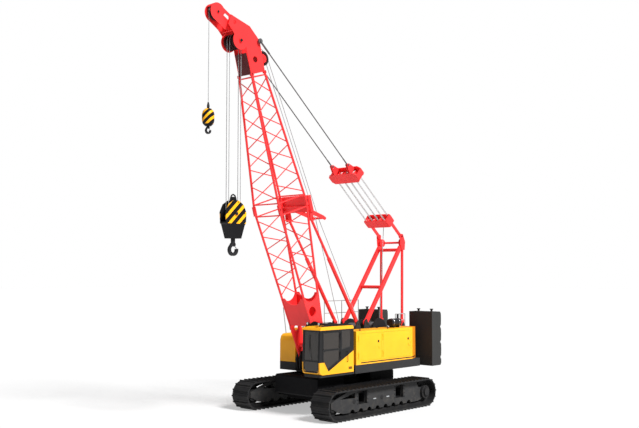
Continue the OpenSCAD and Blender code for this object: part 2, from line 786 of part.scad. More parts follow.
module gantry_front_legs() color("#c2342c") {
  both() difference() {
    union() {
      beam(leg_point(leg_y, 0), leg_point(leg_y, 1), leg_width, 2 * leg_half);
      across(front_pin[0], front_pin[1], 130, leg_y - leg_half, leg_y + leg_half);
      across(leg_top[0], leg_top[1], 75, leg_y - 50, frame_half - 4 - gap);
    }
    across(front_pin[0], front_pin[1], leg_pin_r + pin_gap, leg_y - 180, leg_y + 120, 32);
  }
  for (t = [0.452, 0.961]) rod(leg_point(-leg_y, t), leg_point(leg_y, t), 70);
}

module gantry_rear_legs() color("#c2342c") {
  head = [bail_x, bail_z];
  plate_y = frame_half - 4;
  both() {
    rod([rear_pin[0], leg_y, rear_pin[1] + 200], [bail_x - 125, leg_y, bail_z - 500], 58);
    difference() {
      block([rear_pin[0] - 100, leg_y - leg_half, rear_pin[1] - 140],
        [rear_pin[0] + 100, leg_y + leg_half, rear_pin[1] + 320]);
      across(rear_pin[0], rear_pin[1], leg_pin_r + pin_gap, leg_y - 180, leg_y + 120, 32);
    }
    difference() {
      side(moved([[-210, -600], [-10, -600], [80, -360], [110, 10], [40, 100], [-90, 90], [-250, -240]], head),
        plate_y, plate_y + 30);
      across(bail_x, bail_z, leg_pin_r, plate_y - 30, plate_y + 60, 32);
    }
    across(bail_x, bail_z, leg_pin_r - pin_gap, leg_y - 40, plate_y + 54, 32);
    block([bail_x - 210, leg_y + 20, bail_z - 600], [bail_x - 70, plate_y + 4, bail_z - 440]);
    across(bail_x - 130, bail_z - 280, 170, leg_y - 80, leg_y - 20);
  }
  rod([bail_x - 130, -plate_y - 14, bail_z - 280], [bail_x - 130, plate_y + 14, bail_z - 280], 45);
}

winch_half = frame_half - 230;

// A drum on its shaft between two stands.
module winch(x, z, r, flange_r) {
  floor = deck_low + 45 + gap;
  across(x, z, r, 60 - winch_half, winch_half - 60);
  across(x, z, 70, -winch_half - 90, winch_half + 90);
  both() across(x, z, flange_r, winch_half - 63, winch_half - 27);
  both() side([[x - 300, floor], [x + 300, floor], [x + 130, z - 60], [x + 80, z + 110], [x - 80, z + 110],
    [x - 130, z - 60]], winch_half + 32, winch_half + 88);
}

module winch_drums() color("#3c3f42") {
  winch(-580, deck_low + 480, 230, 330);
  winch(-1290, house_top - 100, 260, 450);
  winch(-2350, house_top - 100, 260, 450);
}

// A rail with three posts, a top bar and a knee bar.
module rail(x0, x1, y, z0, z1) {
  for (x = [x0, (x0 + x1) / 2, x1]) rod([x, y, z0], [x, y, z1], 19, 8);
  rod([x0, y, z1], [x1, y, z1], 19, 8);
  rod([x0, y, (z0 + z1) / 2], [x1, y, (z0 + z1) / 2], 16, 8);
}

module handrails() color("#b9bcbd") {
  roof = house_top + gap;
  y = -house_half - 60;
  rail(house_rear + 60, -1120, -house_half + wall, roof, house_top + 1050);
  rail(house_rear + 120, -2650, house_inner + 200, roof, house_top + 530);
  // climbing rail beside the right front box
  rod([1000, y, house_top - 750], [1250, y, house_top + 830], 19, 8);
  rod([1250, y, house_top + 830], [1000, y, house_top + 830], 19, 8);
  rod([1000, y, house_top + 830], [860, y, house_top - 70], 19, 8);
  rod([1000, y, house_top - 750], [1000, -house_half - gap, house_top - 750], 19, 8);
  rod([860, y, house_top - 70], [860, -house_half - gap, house_top - 70], 19, 8);
}

// Boom

taper_s = 2400;
foot_depth = 165;

// Half the width and half the depth of the boom at s, and a point at a corner.
function half_width(s) = s < taper_s ? foot_half
  : s < splice_s ? foot_half + (splice_width - foot_half) * (s - taper_s) / (splice_s - taper_s)
  : splice_width + (head_half - splice_width) * (s - splice_s) / (lattice_end - splice_s);
function half_depth(s) = s < splice_s ? foot_depth + (splice_depth - foot_depth) * s / splice_s
  : splice_depth + (head_half - splice_depth) * (s - splice_s) / (lattice_end - splice_s);
function corner(s, y, z) = [s, y * half_width(s), z * half_depth(s)];

// Zigzag tubes on all four faces, opposite faces crossed, with a gap between tube ends at each chord.
module lacing(s0, s1, n) {
  p = (s1 - s0) / n;
  for (i = [0:n - 1]) {
    k = i % 2 == 0 ? 1 : -1;
    a = s0 + i * p + 55;
    b = s0 + (i + 1) * p - 55;
    for (y = [-1, 1]) rod(corner(a, y, k * y), corner(b, y, -k * y), lace_r, 16);
    for (z = [-1, 1]) rod(corner(a, -k * z, z), corner(b, k * z, z), lace_r, 16);
  }
}

// The four chords, seams outward and clear of the lacing.
module chords(s0, s1) {
  for (y = [-1, 1]) for (z = [-1, 1])
    rod(corner(s0, y, z), corner(s1, y, z), chord_r, roll = z > 0 ? 180 : 0);
}

// Four tubes round the section at s, ending inside the chords.
module girdle(s) {
  r = 1.3 * lace_r;
  w = half_width(s) - 0.65 * chord_r;
  d = half_depth(s) - 0.65 * chord_r;
  for (k = [-1, 1]) {
    rod([s, -w, k * half_depth(s)], [s, w, k * half_depth(s)], r);
    rod([s, k * half_width(s), -d], [s, k * half_width(s), d], r);
  }
}

// Connecting lugs on the four chords from s0 to s1.
module lugs(s0, s1) {
  s = (s0 + s1) / 2;
  for (y = [-1, 1]) for (z = [-1, 1])
    translate(corner(s, y, z)) cube([s1 - s0, 2 * lug_half - 10, 2 * lug_half], center = true);
}

// A sloping plate over the front (z -1) or rear (z 1) face of the base, from s0 to the plates' end.
module face_plate(s0, z) {
  s1 = plate_end;
  side([[s0, z * (half_depth(s0) - 20)], [s1, z * (half_depth(s1) + 5)], [s1, z * (half_depth(s1) + 30)],
    [s0, z * (half_depth(s0) + 5)]], 20 - foot_half, foot_half - 20);
}

module boom_base() color("#c2342c") on_boom() {
  edge = half_depth(plate_end) + 40;
  difference() {
    union() {
      both() side([[0, -foot_depth], [plate_end, -edge], [plate_end, edge], [0, foot_depth]],
        foot_half - 30, foot_half + 30);
      both() across(0, 0, foot_depth + 5, foot_half - 55, foot_half + 35);
      face_plate(1350, -1);
      face_plate(1500, 1);
      rod([420, 20 - foot_half, 0], [420, foot_half - 20, 0], 90);
    }
    across(0, 0, foot_pin_r + pin_gap, -foot_half - 200, foot_half + 200);
    // hand hole, window and scalloped ends of the side plates, then of the face plates
    both() across(1150, 0, 120, foot_half - 40, foot_half + 40);
    both() across(1900, -110, 190, foot_half - 40, foot_half + 40);
    both() across(plate_end + 200, 0, 420, foot_half - 40, foot_half + 40);
    translate([plate_end + 220, 0, -edge - 50]) cylinder(h = 2 * edge + 100, r = 480);
  }
  chords(plate_end - 120, splice_s - 90);
  lacing(plate_end + 60, splice_s - 340, 5);
  girdle(splice_s - 220);
  lugs(splice_s - 180, splice_s - gap);
}

module boom_top() color("#c2342c") on_boom() {
  chords(splice_s + 90, lattice_end - 10);
  lacing(splice_s + 335, lattice_end - 175, 7);
  lugs(splice_s + gap, splice_s + 180);
  girdle(splice_s + 240);
  girdle(lattice_end - 110);
  lugs(lattice_end - 60, lattice_end - gap);
}

// A box beam on the boom's rear chords, with the backstops' lugs and the wings of the rope guide.
module boom_crossbeam() color("#a82b25") on_boom() {
  s0 = eye_s + 270;
  top = beam_z + 160;
  y = half_width(s0 + 140);
  block([s0, -y - 80, beam_z], [s0 + 640, y + 80, top]);
  both() side([[s0 + 80, half_depth(s0 + 80) + chord_r + gap], [s0 + 240, half_depth(s0 + 240) + chord_r + gap],
    [s0 + 240, beam_z + 1], [s0 + 80, beam_z + 1]], y - 35, y + 35);
  both() for (y0 = [stop_y - 90, stop_y + 60]) difference() {
    side([[eye_s - 90, stop_n - 85], [eye_s - 90, stop_n + 75], [s0 + 20, top], [s0 + 20, beam_z + 10],
      [eye_s + 50, stop_n - 105]], y0, y0 + 30);
    across(eye_s, stop_n, 42, y0 - 5, y0 + 35);
  }
  both() side([[s0 + 240, top - 10], [eye_s - 160, stop_n + 1065], [eye_s - 290, stop_n + 1165],
    [eye_s - 340, stop_n + 1075], [s0, top - 10]], 290, 315);
  rod([eye_s - 260, -320, stop_n + 1105], [eye_s - 260, 320, stop_n + 1105], 45);
}

// The head's cheek plates, from the lattice to the tip.
cheek_line = concat([[lattice_end + 5, -head_half - 20], [main_s - 270, 210 - main_n]],
  [[main_s - 30, -main_n - 30], [main_s + 30, -main_n - 110], [main_s + 350, -main_n - 240]],
  moved([[-490, 225], [-170, 435], [-410, 805], [-680, 1235]], [tip_s, -tip_n]),
  moved([[170, -40], [0, 50], [-180, 40]], [pendant_s, pendant_n]),
  [[lattice_end + 5, head_half + 20]]);
tip_line = moved([[-630, 1175], [-310, 715], [270, 155], [-190, -255], [-650, 155], [-750, 455], [-710, 855]],
  [tip_s, -tip_n]);
guide_s = lattice_end + 500;
guide_n = head_half + 380;
guide_r = 280;

module boom_head() color("#c2342c") on_boom() {
  y = head_half - 20;
  s0 = lattice_end;
  both() difference() {
    union() {
      side(cheek_line, y, y + 30);
      across(main_s, -main_n, sheave_r + 45, y, y + 30);
    }
    across(tip_s - 460, 535 - tip_n, 70, y - 20, y + 50);
    across(s0 + 500, 0, 120, y - 20, y + 50);
  }
  block([s0 + 5, -y - 10, -head_half - 10], [s0 + 45, y + 10, head_half + 10]);
  block([s0 + 5, -y - 10, -head_half - 10], [s0 + 800, y + 10, 20 - head_half]);
  block([s0 + 5, -y - 10, head_half - 30], [s0 + 900, y + 10, head_half]);
  lugs(s0 + gap, s0 + 40);
  // bracket of the rear guide sheave
  both() side(moved([[-280, -390], [-140, 40], [-60, 90], [60, 80], [140, 0], [290, -390]], [guide_s, guide_n]),
    90, 115);
  // tip cheeks with the cover over the tip sheave
  both() difference() {
    union() {
      side(tip_line, 150, 175);
      across(tip_s, -tip_n, tip_r + 48, 150, 175);
    }
    across(tip_s - 230, 335 - tip_n, 130, 100, 200);
  }
  intersection() {
    difference() {
      across(tip_s, -tip_n, tip_r + 48, -155, 155);
      across(tip_s, -tip_n, tip_r + 18, -160, 160);
    }
    side(moved([[0, 0], 1000 * [cos(-40), sin(-40)], 1400 * [cos(10), sin(10)], 1000 * [cos(60), sin(60)]],
      [tip_s, -tip_n]), -160, 160);
  }
  rod([tip_s - 610, -y - 10, 1035 - tip_n], [tip_s - 610, y + 10, 1035 - tip_n], 45);
  rod([tip_s - 530, -y - 10, 395 - tip_n], [tip_s - 530, y + 10, 395 - tip_n], 45);
  across(main_s, -main_n, 70 - 2 * pin_gap, -y - 80, y + 80);
  across(guide_s, guide_n, 55 - 2 * pin_gap, -125, 125);
  across(tip_s, -tip_n, 55 - 2 * pin_gap, -200, 200);
  // limit switch on its cross rod
  rod([main_s + 410, -y - 20, -main_n - 210], [main_s + 410, y + 20, -main_n - 210], 24, 16);
  rod([main_s + 410, 0, -main_n - 210], [main_s + 220, 0, -main_n - 520], 14, 16);
  translate([main_s + 220, 0, -main_n - 520]) sphere(r = 26);
}

module head_sheaves() color("#3a3c3f") on_boom() {
  for (y = [-210, -70, 70, 210]) sheave(main_s, -main_n, sheave_r, y, sheave_w, 70);
  sheave(guide_s, guide_n, guide_r, 0, tip_w, 55);
  sheave(tip_s, -tip_n, tip_r, 0, tip_w, 55);
}

// Luffing rigging

// A frame's outline from above, with its corners cut off.
function frame_plan(s0, s1, half, cut) = [[s0, cut - half], [s0 + cut, -half], [s1 - cut, -half], [s1, cut - half],
  [s1, half - cut], [s1 - cut, half], [s0 + cut, half], [s0, half - cut]];

module lower_spreader() color("#c2342c") on_rig() difference() {
  half = leg_y + 45;
  union() {
    both() {
      beam([0, leg_y + 10, 0], [low_s - 140, leg_y + 10, 0], 130, 50);
      across(0, 0, 100, leg_y - 15, leg_y + 35);
      block([low_s - 180, half - 60, -190], [low_s + 220, half, 190]);
    }
    for (k = [-1, 1]) plan(frame_plan(low_s - 180, low_s + 240, half, 60), k * 185 - 12, k * 185 + 12);
    rod([low_s, 10 - half, 0], [low_s, half - 10, 0], 45);
    for (y = rope_ys) sheave(low_s, 0, luff_r, y, luff_w, 40, 0);
  }
  across(0, 0, leg_pin_r + pin_gap, -half - 100, half + 100, 32);
}

module upper_spreader() color("#c2342c") on_rig() {
  half = leg_y + 185;
  for (k = [-1, 1]) plan(frame_plan(up_s - 260, up_s + 260, half, 120), k * 200 - 12, k * 200 + 12);
  for (y = [-half + 14, -320, 0, 320, half - 14]) block([up_s - 140, y - 14, -205], [up_s + 140, y + 14, 205]);
  rod([up_s, 10 - half, 0], [up_s, half - 10, 0], 50);
  for (y = rope_ys) sheave(up_s, 0, luff_r, y, luff_w, 45, 0);
  both() for (k = [-1, 1]) difference() {
    side([[up_s + 190, -200], [up_s + 230, -200], [pendant_start + 20, -70], [pendant_start + 80, 0],
      [pendant_start + 20, 70], [up_s + 230, 200], [up_s + 190, 200]],
      pendant_y + k * 40 - 12, pendant_y + k * 40 + 12);
    across(pendant_start, 0, leg_pin_r + pin_gap, pendant_y - 100, pendant_y + 100);
  }
}

module pendants() color("#7c8084") on_rig() both() {
  l = pendant_end;
  rod([pendant_start - 40, pendant_y, 0], [pendant_start + 360, pendant_y, 0], 27);
  rod([pendant_start + 260, pendant_y, 0], [l - 500, pendant_y, 0], 22);
  rod([l - 620, pendant_y, 0], [l - 60, pendant_y, 0], 36);
  across(pendant_start, 0, leg_pin_r, pendant_y - 80, pendant_y + 80);
  across(l, 0, 95, pendant_y - 40, pendant_y + 30);
  across(l, 0, 48, pendant_y - 65, pendant_y + 70);
}

module luffing_ropes() color("#9a9da0") on_rig() for (y = rope_ys) for (k = [-1, 1]) {
  z = k * rope_seat(luff_r, luff_w);
  rod([low_s, y, z], [up_s, y, z], rope_r, 16);
}

stop_tube_end = stop_length - 1845;

module backstop_tubes() color("#c2342c") on_stop() both() difference() {
  union() {
    rod([230, stop_y, 0], [stop_tube_end, stop_y, 0], stop_tube_r);
    block([0, stop_y - 45, -62], [260, stop_y + 26, 62]);
    across(0, 0, 85, stop_y - 45, stop_y + 26);
  }
  across(0, 0, stop_pin_r + pin_gap, stop_y - 100, stop_y + 100, 32);
  rod([1000, stop_y, 0], [stop_tube_end + 50, stop_y, 0], stop_rod_r + 2 * pin_gap);
}

module backstop_rods() color("#c2342c") on_stop() both() {
  rod([1320, stop_y, 0], [stop_length - 40, stop_y, 0], stop_rod_r);
  across(stop_length, 0, stop_rod_r + 10, stop_y - 55, stop_y + 55);
}

// Hooks

fall_x = rope_seat(sheave_r, sheave_w);

module main_fall_ropes() color("#8b8e91") for (k = [-1, 1]) for (y = [-70, 70])
  rod([main_x + k * fall_x, y, block_z], [main_x + k * fall_x, y, main_z], rope_r, 16);

shank_r = 80;

module main_hook_block() color("#d9a52a") {
  cheek = [[-470, -345], [-500, 40], [-360, 330], [-120, 480], [120, 480], [360, 330], [500, 40], [470, -345]];
  weight = [[-480, -345], [-475, -300], [475, -300], [480, -345], [420, -400], [250, -900], [-250, -900],
    [-420, -400]];
  becket = [[-190, 380], [190, 380], [60, 620], [-60, 620]];
  centre = [main_x, block_z];
  both() side(moved(cheek, centre), 140, 175);
  across(main_x, block_z, 70, -200, 200);
  for (y = [-70, 70]) sheave(main_x, block_z, sheave_r, y, sheave_w, 65);
  difference() {
    side(moved(weight, centre), -175, 175);
    translate([main_x, 0, block_z - 910]) cylinder(h = 260, r = shank_r + 2 * pin_gap);
  }
  rod([main_x, -160, block_z + 440], [main_x, 160, block_z + 440], 50);
  side(moved(becket, centre), -30, 30);
}

// A lifting hook seen along Y, with a round bowl of radius r centred at x, z.
module hook(x, z, r, half) {
  difference() {
    union() {
      across(x, z - 0.12 * r, 1.72 * r, -half, half);
      side(moved(r * [[-0.62, 1.95], [0.62, 1.95], [1.5, 0.6], [-0.8, 0.9]], [x, z]), -half, half);
    }
    across(x, z, r, -half - 1, half + 1);
    side(moved(r * [[-0.3, 0.1], [-2.4, 0.35], [-2.4, 2], [-1.3, 2], [-0.5, 1.02]], [x, z]), -half - 1, half + 1);
  }
}

module main_hook() color("#33363a") {
  hook(main_x, hook_z, hook_r, 55);
  shank = hook_z + 1.6 * hook_r;
  translate([main_x, 0, shank]) cylinder(h = block_z - 660 - shank, r = shank_r);
}

aux_low = aux_z - 620;
aux_socket = 80;
aux_hook_z = aux_low - 155;
aux_shank_r = 50;

module aux_fall_rope() color("#8b8e91")
  rod([aux_x, 0, aux_z + aux_socket + gap], [aux_x, 0, tip_z], rope_r, 16);

module aux_weight() color("#d9a52a") difference() {
  union() {
    translate([aux_x, 0, aux_low]) rotate_extrude()
      polygon([[0, 0], [aux_r - 110, 0], [aux_r - 30, 80], [aux_r, 190], [aux_r, 430], [aux_r - 30, 540],
        [aux_r - 110, 620], [0, 620]]);
    translate([aux_x, 0, aux_z - 5]) cylinder(h = aux_socket + 5, r = 45);
  }
  translate([aux_x, 0, aux_low - 10]) cylinder(h = 170, r = aux_shank_r + 2 * pin_gap);
}

module aux_hook() color("#33363a") {
  shank = 1.6 * aux_hook_r;
  hook(aux_x, aux_hook_z, aux_hook_r, 36);
  translate([aux_x, 0, aux_hook_z + shank]) cylinder(h = 305 - shank, r = aux_shank_r);
}

carbody();
slewing_ring();
crawler_frame_left();
crawler_frame_right();
track_left();
track_right();
idlers();
drive_sprockets();
track_rollers();
turntable_frame();
deck_left();
deck_right();
left_house();
right_house();
right_front_box();
engine_block();
exhaust();
cab_shell();
cab_glass();
cab_roof_guard();
operator_seat();
counterweight_left();
counterweight_right();
counterweight_tray();
gantry_front_legs();
gantry_rear_legs();
winch_drums();
handrails();
service_door_front();
service_door_rear();
cab_door();
cab_door_glass();
boom_base();
boom_top();
boom_crossbeam();
boom_head();
head_sheaves();
lower_spreader();
upper_spreader();
pendants();
backstop_tubes();
backstop_rods();
luffing_ropes();
main_fall_ropes();
main_hook_block();
main_hook();
aux_fall_rope();
aux_weight();
aux_hook();
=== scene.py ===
"""Dresses a crawler crane: paint, ropes, fittings, fasteners and a studio stage."""

import json
import math

import bmesh
import bpy
from mathutils import Matrix, Vector


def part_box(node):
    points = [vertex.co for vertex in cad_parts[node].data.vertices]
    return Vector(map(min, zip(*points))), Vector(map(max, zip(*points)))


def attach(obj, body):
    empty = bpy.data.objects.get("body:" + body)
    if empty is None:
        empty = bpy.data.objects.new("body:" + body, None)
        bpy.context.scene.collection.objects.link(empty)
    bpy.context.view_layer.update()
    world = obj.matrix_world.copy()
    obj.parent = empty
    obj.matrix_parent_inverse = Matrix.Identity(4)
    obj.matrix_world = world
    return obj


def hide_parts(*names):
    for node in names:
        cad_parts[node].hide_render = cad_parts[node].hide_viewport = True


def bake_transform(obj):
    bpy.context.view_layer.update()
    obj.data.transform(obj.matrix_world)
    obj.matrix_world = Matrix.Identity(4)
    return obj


bl_info = {
    "name": "Crawler Crane Dressing",
    "version": (1, 0, 0),
    "blender": (4, 5, 0),
    "location": "3D View > Sidebar > Crane",
    "description": "Paints a lattice-boom crawler crane and adds its ropes, fittings and fasteners",
    "category": "Object",
}

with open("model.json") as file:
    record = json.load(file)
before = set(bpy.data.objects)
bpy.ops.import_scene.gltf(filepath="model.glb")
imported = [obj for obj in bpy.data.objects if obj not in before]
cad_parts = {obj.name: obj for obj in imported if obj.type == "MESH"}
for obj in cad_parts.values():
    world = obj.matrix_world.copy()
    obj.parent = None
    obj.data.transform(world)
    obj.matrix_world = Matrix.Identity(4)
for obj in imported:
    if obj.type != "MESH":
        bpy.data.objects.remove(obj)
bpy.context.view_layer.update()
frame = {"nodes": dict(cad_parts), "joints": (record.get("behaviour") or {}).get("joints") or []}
NODES = frame["nodes"]
JOINTS = {joint["name"]: joint for joint in frame["joints"]}

# Places taken from the frame, in metres
FOOT = Vector(JOINTS["boom_luff"]["pos_m"])
BAIL = Vector(JOINTS["bail_swing"]["pos_m"])
MAIN_SHEAVE = Vector(JOINTS["main_fall_swing"]["pos_m"])
TIP_SHEAVE = Vector(JOINTS["aux_fall_swing"]["pos_m"])
RIG_DIRECTION = Vector(JOINTS["bridle_slide"]["axis"])
BOOM_ANGLE = math.radians(72.7)

# Outer faces and centres of the solids that carry the fittings, in metres
TRACK_Y = 2.15
TRACK_FACE = 0.23
AXLE_X = 1.12
WHEEL_X, WHEEL_Z = 2.725, 0.575
HOUSE_SIDE, HOUSE_TOP = 1.70, 3.15
CAB_RIGHT, CAB_LEFT = 0.79, 1.68
CAB_LOW, CAB_TOP = 1.62, 3.40
CAB_REAR, CAB_FRONT = 0.83, 2.765
SPLICES = ((6.10, 0.690, 0.745), (11.20, 0.340, 0.340))
GUIDE_SHEAVE = (11.70, 0.72)
WING_ROLLER = (5.091, 1.990)
HEAD_ROD = (13.0, -0.12)
LOWER_SPREADER, UPPER_SPREADER = 0.96, 3.79
LUFFING_YS = (-0.525, -0.475, -0.190, -0.140, 0.140, 0.190, 0.475, 0.525)
BLOCK_FACE, BLOCK_Z = 0.175, 7.56
SPLICE_PIN = ((0.0, 0.0), (0.02, 0.0), (0.02, 0.016), (0.014, 0.022), (0.0, 0.022))
WINCHES = {"main": (-0.58, 2.00, 0.23), "aux": (-1.29, 3.05, 0.26), "luffing": (-2.35, 3.05, 0.26)}

# Distance of a rope's axis from the centre of what it runs over, and where the leads run, in metres
MAIN_SEAT, TIP_SEAT, GUIDE_SEAT, LUFFING_SEAT = 0.2795, 0.2709, 0.2689, 0.1467
ROLLER_RADIUS = 0.045
MAIN_FALL_Y, SIDE_LEAD_Y, LUFFING_LEAD_Y = -0.07, -0.165, 0.14

# Where a paint or a painted shade changes on a solid, in metres
BLOCK_STRIPES_LOW, BLOCK_CHEEK_Y = 7.20, 0.141
BALL_STRIPES_LOW, BALL_STRIPES_HIGH = 10.70, 11.245
HEAD_INSIDE_Y, HEAD_INSIDE_TOP, HEAD_INSIDE_REAR = 0.318, 12.12, 0.30


def on_boom(along, across, rear):
    """A point given along the boom, to its left and behind its axis."""
    forward = Vector((math.cos(BOOM_ANGLE), 0, math.sin(BOOM_ANGLE)))
    behind = Vector((-math.sin(BOOM_ANGLE), 0, math.cos(BOOM_ANGLE)))
    return FOOT + along * forward + Vector((0, across, 0)) + rear * behind


def on_rig(along, across, above):
    """A point given along the luffing rigging from the bail pin."""
    normal = Vector((-RIG_DIRECTION.z, 0, RIG_DIRECTION.x))
    return BAIL + along * RIG_DIRECTION + Vector((0, across, 0)) + above * normal


def beside(point, across):
    """The same point at another distance to the left."""
    return Vector((point[0], across, point[2]))


# Sizes and colours a user may change


def paint_colour(label, use, value):
    """A colour that a user may change."""
    return bpy.props.FloatVectorProperty(
        name=label, description=f"Paint of {use}", subtype="COLOR", size=3, min=0, max=1, default=value)


class CranePaint(bpy.types.PropertyGroup):
    """Colours of the crane's finishes, with the shade painted on each house's rear corner and inside the
    boom head.
    """

    red: paint_colour("Boom red", "the boom, gantry and spreaders", (0.95, 0.034, 0.036))
    yellow: paint_colour("House yellow", "the houses, cab and hook weights", (0.93, 0.42, 0.012))
    # darker orange, painted as shade on the rear corner faces of the houses, where those faces turn away
    # from the light
    shaded_amber: paint_colour("Corner amber", "the shade painted on the houses' rear corners", (0.62, 0.20, 0.010))
    black: paint_colour("Trim black", "the cab frame and stripes", (0.008, 0.008, 0.009))
    frame_grey: paint_colour("Frame grey", "the decks and frames", (0.029, 0.029, 0.030))
    weight_grey: paint_colour("Counterweight grey", "the counterweight", (0.034, 0.034, 0.033))
    rail_grey: paint_colour("Rail grey", "the handrails", (0.32, 0.33, 0.34))
    # dark red, painted as the shade inside the boom head between its cheeks
    inside_shade: paint_colour("Head primer", "the shade painted on the plates inside the boom head", (0.10, 0.004, 0.006))
    stripe_period: bpy.props.FloatProperty(
        name="Stripe period", description="Height from one hook stripe to the next of the same colour",
        unit="LENGTH", default=0.38, min=0.05, max=1.0)
    stripe_share: bpy.props.FloatProperty(
        name="Stripe share", description="Share of a stripe period that is yellow",
        subtype="FACTOR", default=0.42, min=0.05, max=0.95)
    edge_round: bpy.props.FloatProperty(
        name="Edge rounding", description="Radius of the rolled edges of the boxy solids",
        unit="LENGTH", default=0.008, min=0.001, max=0.03)


class CraneRopes(bpy.types.PropertyGroup):
    """Sizes of the ropes."""

    radius: bpy.props.FloatProperty(
        name="Rope radius", description="Radius of the hoist and luffing ropes",
        unit="LENGTH", default=0.012, min=0.005, max=0.03)
    sides: bpy.props.IntProperty(
        name="Rope sides", description="Sides of a rope's cross-section",
        default=10, min=6, max=32)
    lay: bpy.props.FloatProperty(
        name="Rope lay", description="Length of one turn of the strands",
        unit="LENGTH", default=0.16, min=0.04, max=0.5)


class CraneView(bpy.types.PropertyGroup):
    """The camera and the lights."""

    place: bpy.props.FloatVectorProperty(
        name="Camera place", description="Where the camera stands",
        subtype="TRANSLATION", size=3, default=(26.721, 24.059, 5.467))
    target: bpy.props.FloatVectorProperty(
        name="Camera target", description="What the camera looks at",
        subtype="TRANSLATION", size=3, default=(0.963, 0.0, 7.772))
    lens: bpy.props.FloatProperty(
        name="Lens", description="Focal length on a 36 mm sensor, in millimetres",
        default=49.52, min=20, max=200)
    key_direction: bpy.props.FloatVectorProperty(
        name="Key direction", description="Direction from the crane to the key light",
        subtype="DIRECTION", size=3, default=(0.0, 0.70, 0.71))
    key_strength: bpy.props.FloatProperty(
        name="Key strength", description="Strength of the key light", default=6.0, min=0, max=20)
    sky_strength: bpy.props.FloatProperty(
        name="Sky strength", description="Strength of the soft light all round", default=0.25, min=0, max=5)


# Shader maths


class Value:
    """A shader socket that takes part in Python arithmetic."""

    def __init__(self, finish, socket):
        self.finish = finish
        self.socket = socket

    def _math(self, operation, left, right=0.0):
        return self.finish.node("ShaderNodeMath", {"operation": operation}, {0: left, 1: right})

    def __add__(self, other):
        return self._math("ADD", self, other)

    __radd__ = __add__

    def __sub__(self, other):
        return self._math("SUBTRACT", self, other)

    def __rsub__(self, other):
        return self._math("SUBTRACT", other, self)

    def __mul__(self, other):
        return self._math("MULTIPLY", self, other)

    __rmul__ = __mul__

    def __mod__(self, other):
        return self._math("FLOORED_MODULO", self, other)

    def __gt__(self, other):
        return self._math("GREATER_THAN", self, other)

    def __lt__(self, other):
        return self._math("LESS_THAN", self, other)

    def __abs__(self):
        return self._math("ABSOLUTE", self)

    def largest(self, other):
        return self._math("MAXIMUM", self, other)

    def smallest(self, other):
        return self._math("MINIMUM", self, other)

    def sine(self):
        return self._math("SINE", self)


class Finish:
    """One material and its node tree."""

    def __init__(self, name):
        self.material = bpy.data.materials.new(name)
        self.material.use_nodes = True
        self.tree = self.material.node_tree
        self.tree.nodes.clear()
        self.shader = self.tree.nodes.new("ShaderNodeBsdfPrincipled")
        output = self.tree.nodes.new("ShaderNodeOutputMaterial")
        self.tree.links.new(self.shader.outputs[0], output.inputs["Surface"])

    def put(self, node, sockets):
        """Gives sockets their values or links."""
        for key, value in sockets.items():
            if isinstance(value, Value):
                self.tree.links.new(value.socket, node.inputs[key])
            else:
                node.inputs[key].default_value = value

    def node(self, kind, settings, sockets, output=0):
        """Adds a node with its settings, then its sockets, and returns one output."""
        made = self.tree.nodes.new(kind)
        for name, value in settings.items():
            setattr(made, name, value)
        self.put(made, sockets)
        return Value(self, made.outputs[output])

    def parts(self, vector):
        """The three parts of a vector."""
        return [self.node("ShaderNodeSeparateXYZ", {}, {0: vector}, axis) for axis in range(3)]

    def place(self):
        """Object coordinates and their three parts."""
        spot = self.node("ShaderNodeTexCoord", {}, {}, "Object")
        return spot, self.parts(spot)

    def stretched(self, spot, scale):
        """Coordinates with each axis scaled."""
        return self.node("ShaderNodeMapping", {}, {"Vector": spot, "Scale": scale})

    def noise(self, spot, scale, detail=3.0, roughness=0.55):
        return self.node("ShaderNodeTexNoise", {}, {
            "Vector": spot, "Scale": scale, "Detail": detail, "Roughness": roughness})

    def ramp(self, value, low, high):
        """0 below low and 1 above high, smooth between."""
        return self.node("ShaderNodeMapRange", {"interpolation_type": "SMOOTHSTEP"}, {
            0: value, 1: low, 2: high, 3: 0.0, 4: 1.0})

    def blend(self, factor, first, second):
        """A colour between two."""
        return self.node("ShaderNodeMix", {"data_type": "RGBA"}, {
            0: factor, 6: colour(first), 7: colour(second)}, 2)

    def shaded(self, base, factor):
        """A plain or linked colour made darker or lighter."""
        if isinstance(base, Value):
            return self.node("ShaderNodeMix", {"data_type": "RGBA", "blend_type": "MULTIPLY"}, {
                0: 1.0, 6: base, 7: (factor, factor, factor, 1.0)}, 2)
        return shade(base, factor)

    def bump(self, height, strength, distance):
        return self.node("ShaderNodeBump", {}, {
            "Strength": strength, "Distance": distance, "Height": height})

    def surface(self, sockets):
        """Fills the shader and hands over the finished material."""
        self.put(self.shader, sockets)
        return self.material


def colour(value):
    return value if isinstance(value, Value) else (*value[:3], 1.0)


def shade(value, factor):
    return tuple(min(1.0, part * factor) for part in value)


# Finishes

DUST = (0.16, 0.14, 0.11)


def weathered(finish, base, spot, height, dust):
    """Paint with slow tone changes, faint rain streaks, and dust that gathers low down."""
    tone = finish.ramp(finish.noise(spot, 0.9, 4.0), 0.3, 0.7)
    mottled = finish.blend(tone, finish.shaded(base, 0.92), finish.shaded(base, 1.05))
    streak = finish.ramp(finish.noise(finish.stretched(spot, (9.0, 9.0, 0.6)), 1.0, 4.0), 0.55, 0.8)
    streaked = finish.blend(streak * 0.18, mottled, finish.shaded(base, 0.62))
    low = 1.0 - finish.ramp(height, 0.2, 1.9)
    grime = finish.ramp(finish.noise(spot, 5.0, 5.0, 0.65), 0.42, 0.72) * (low * 0.8 + 0.12) * dust
    return finish.blend(grime, streaked, DUST), grime


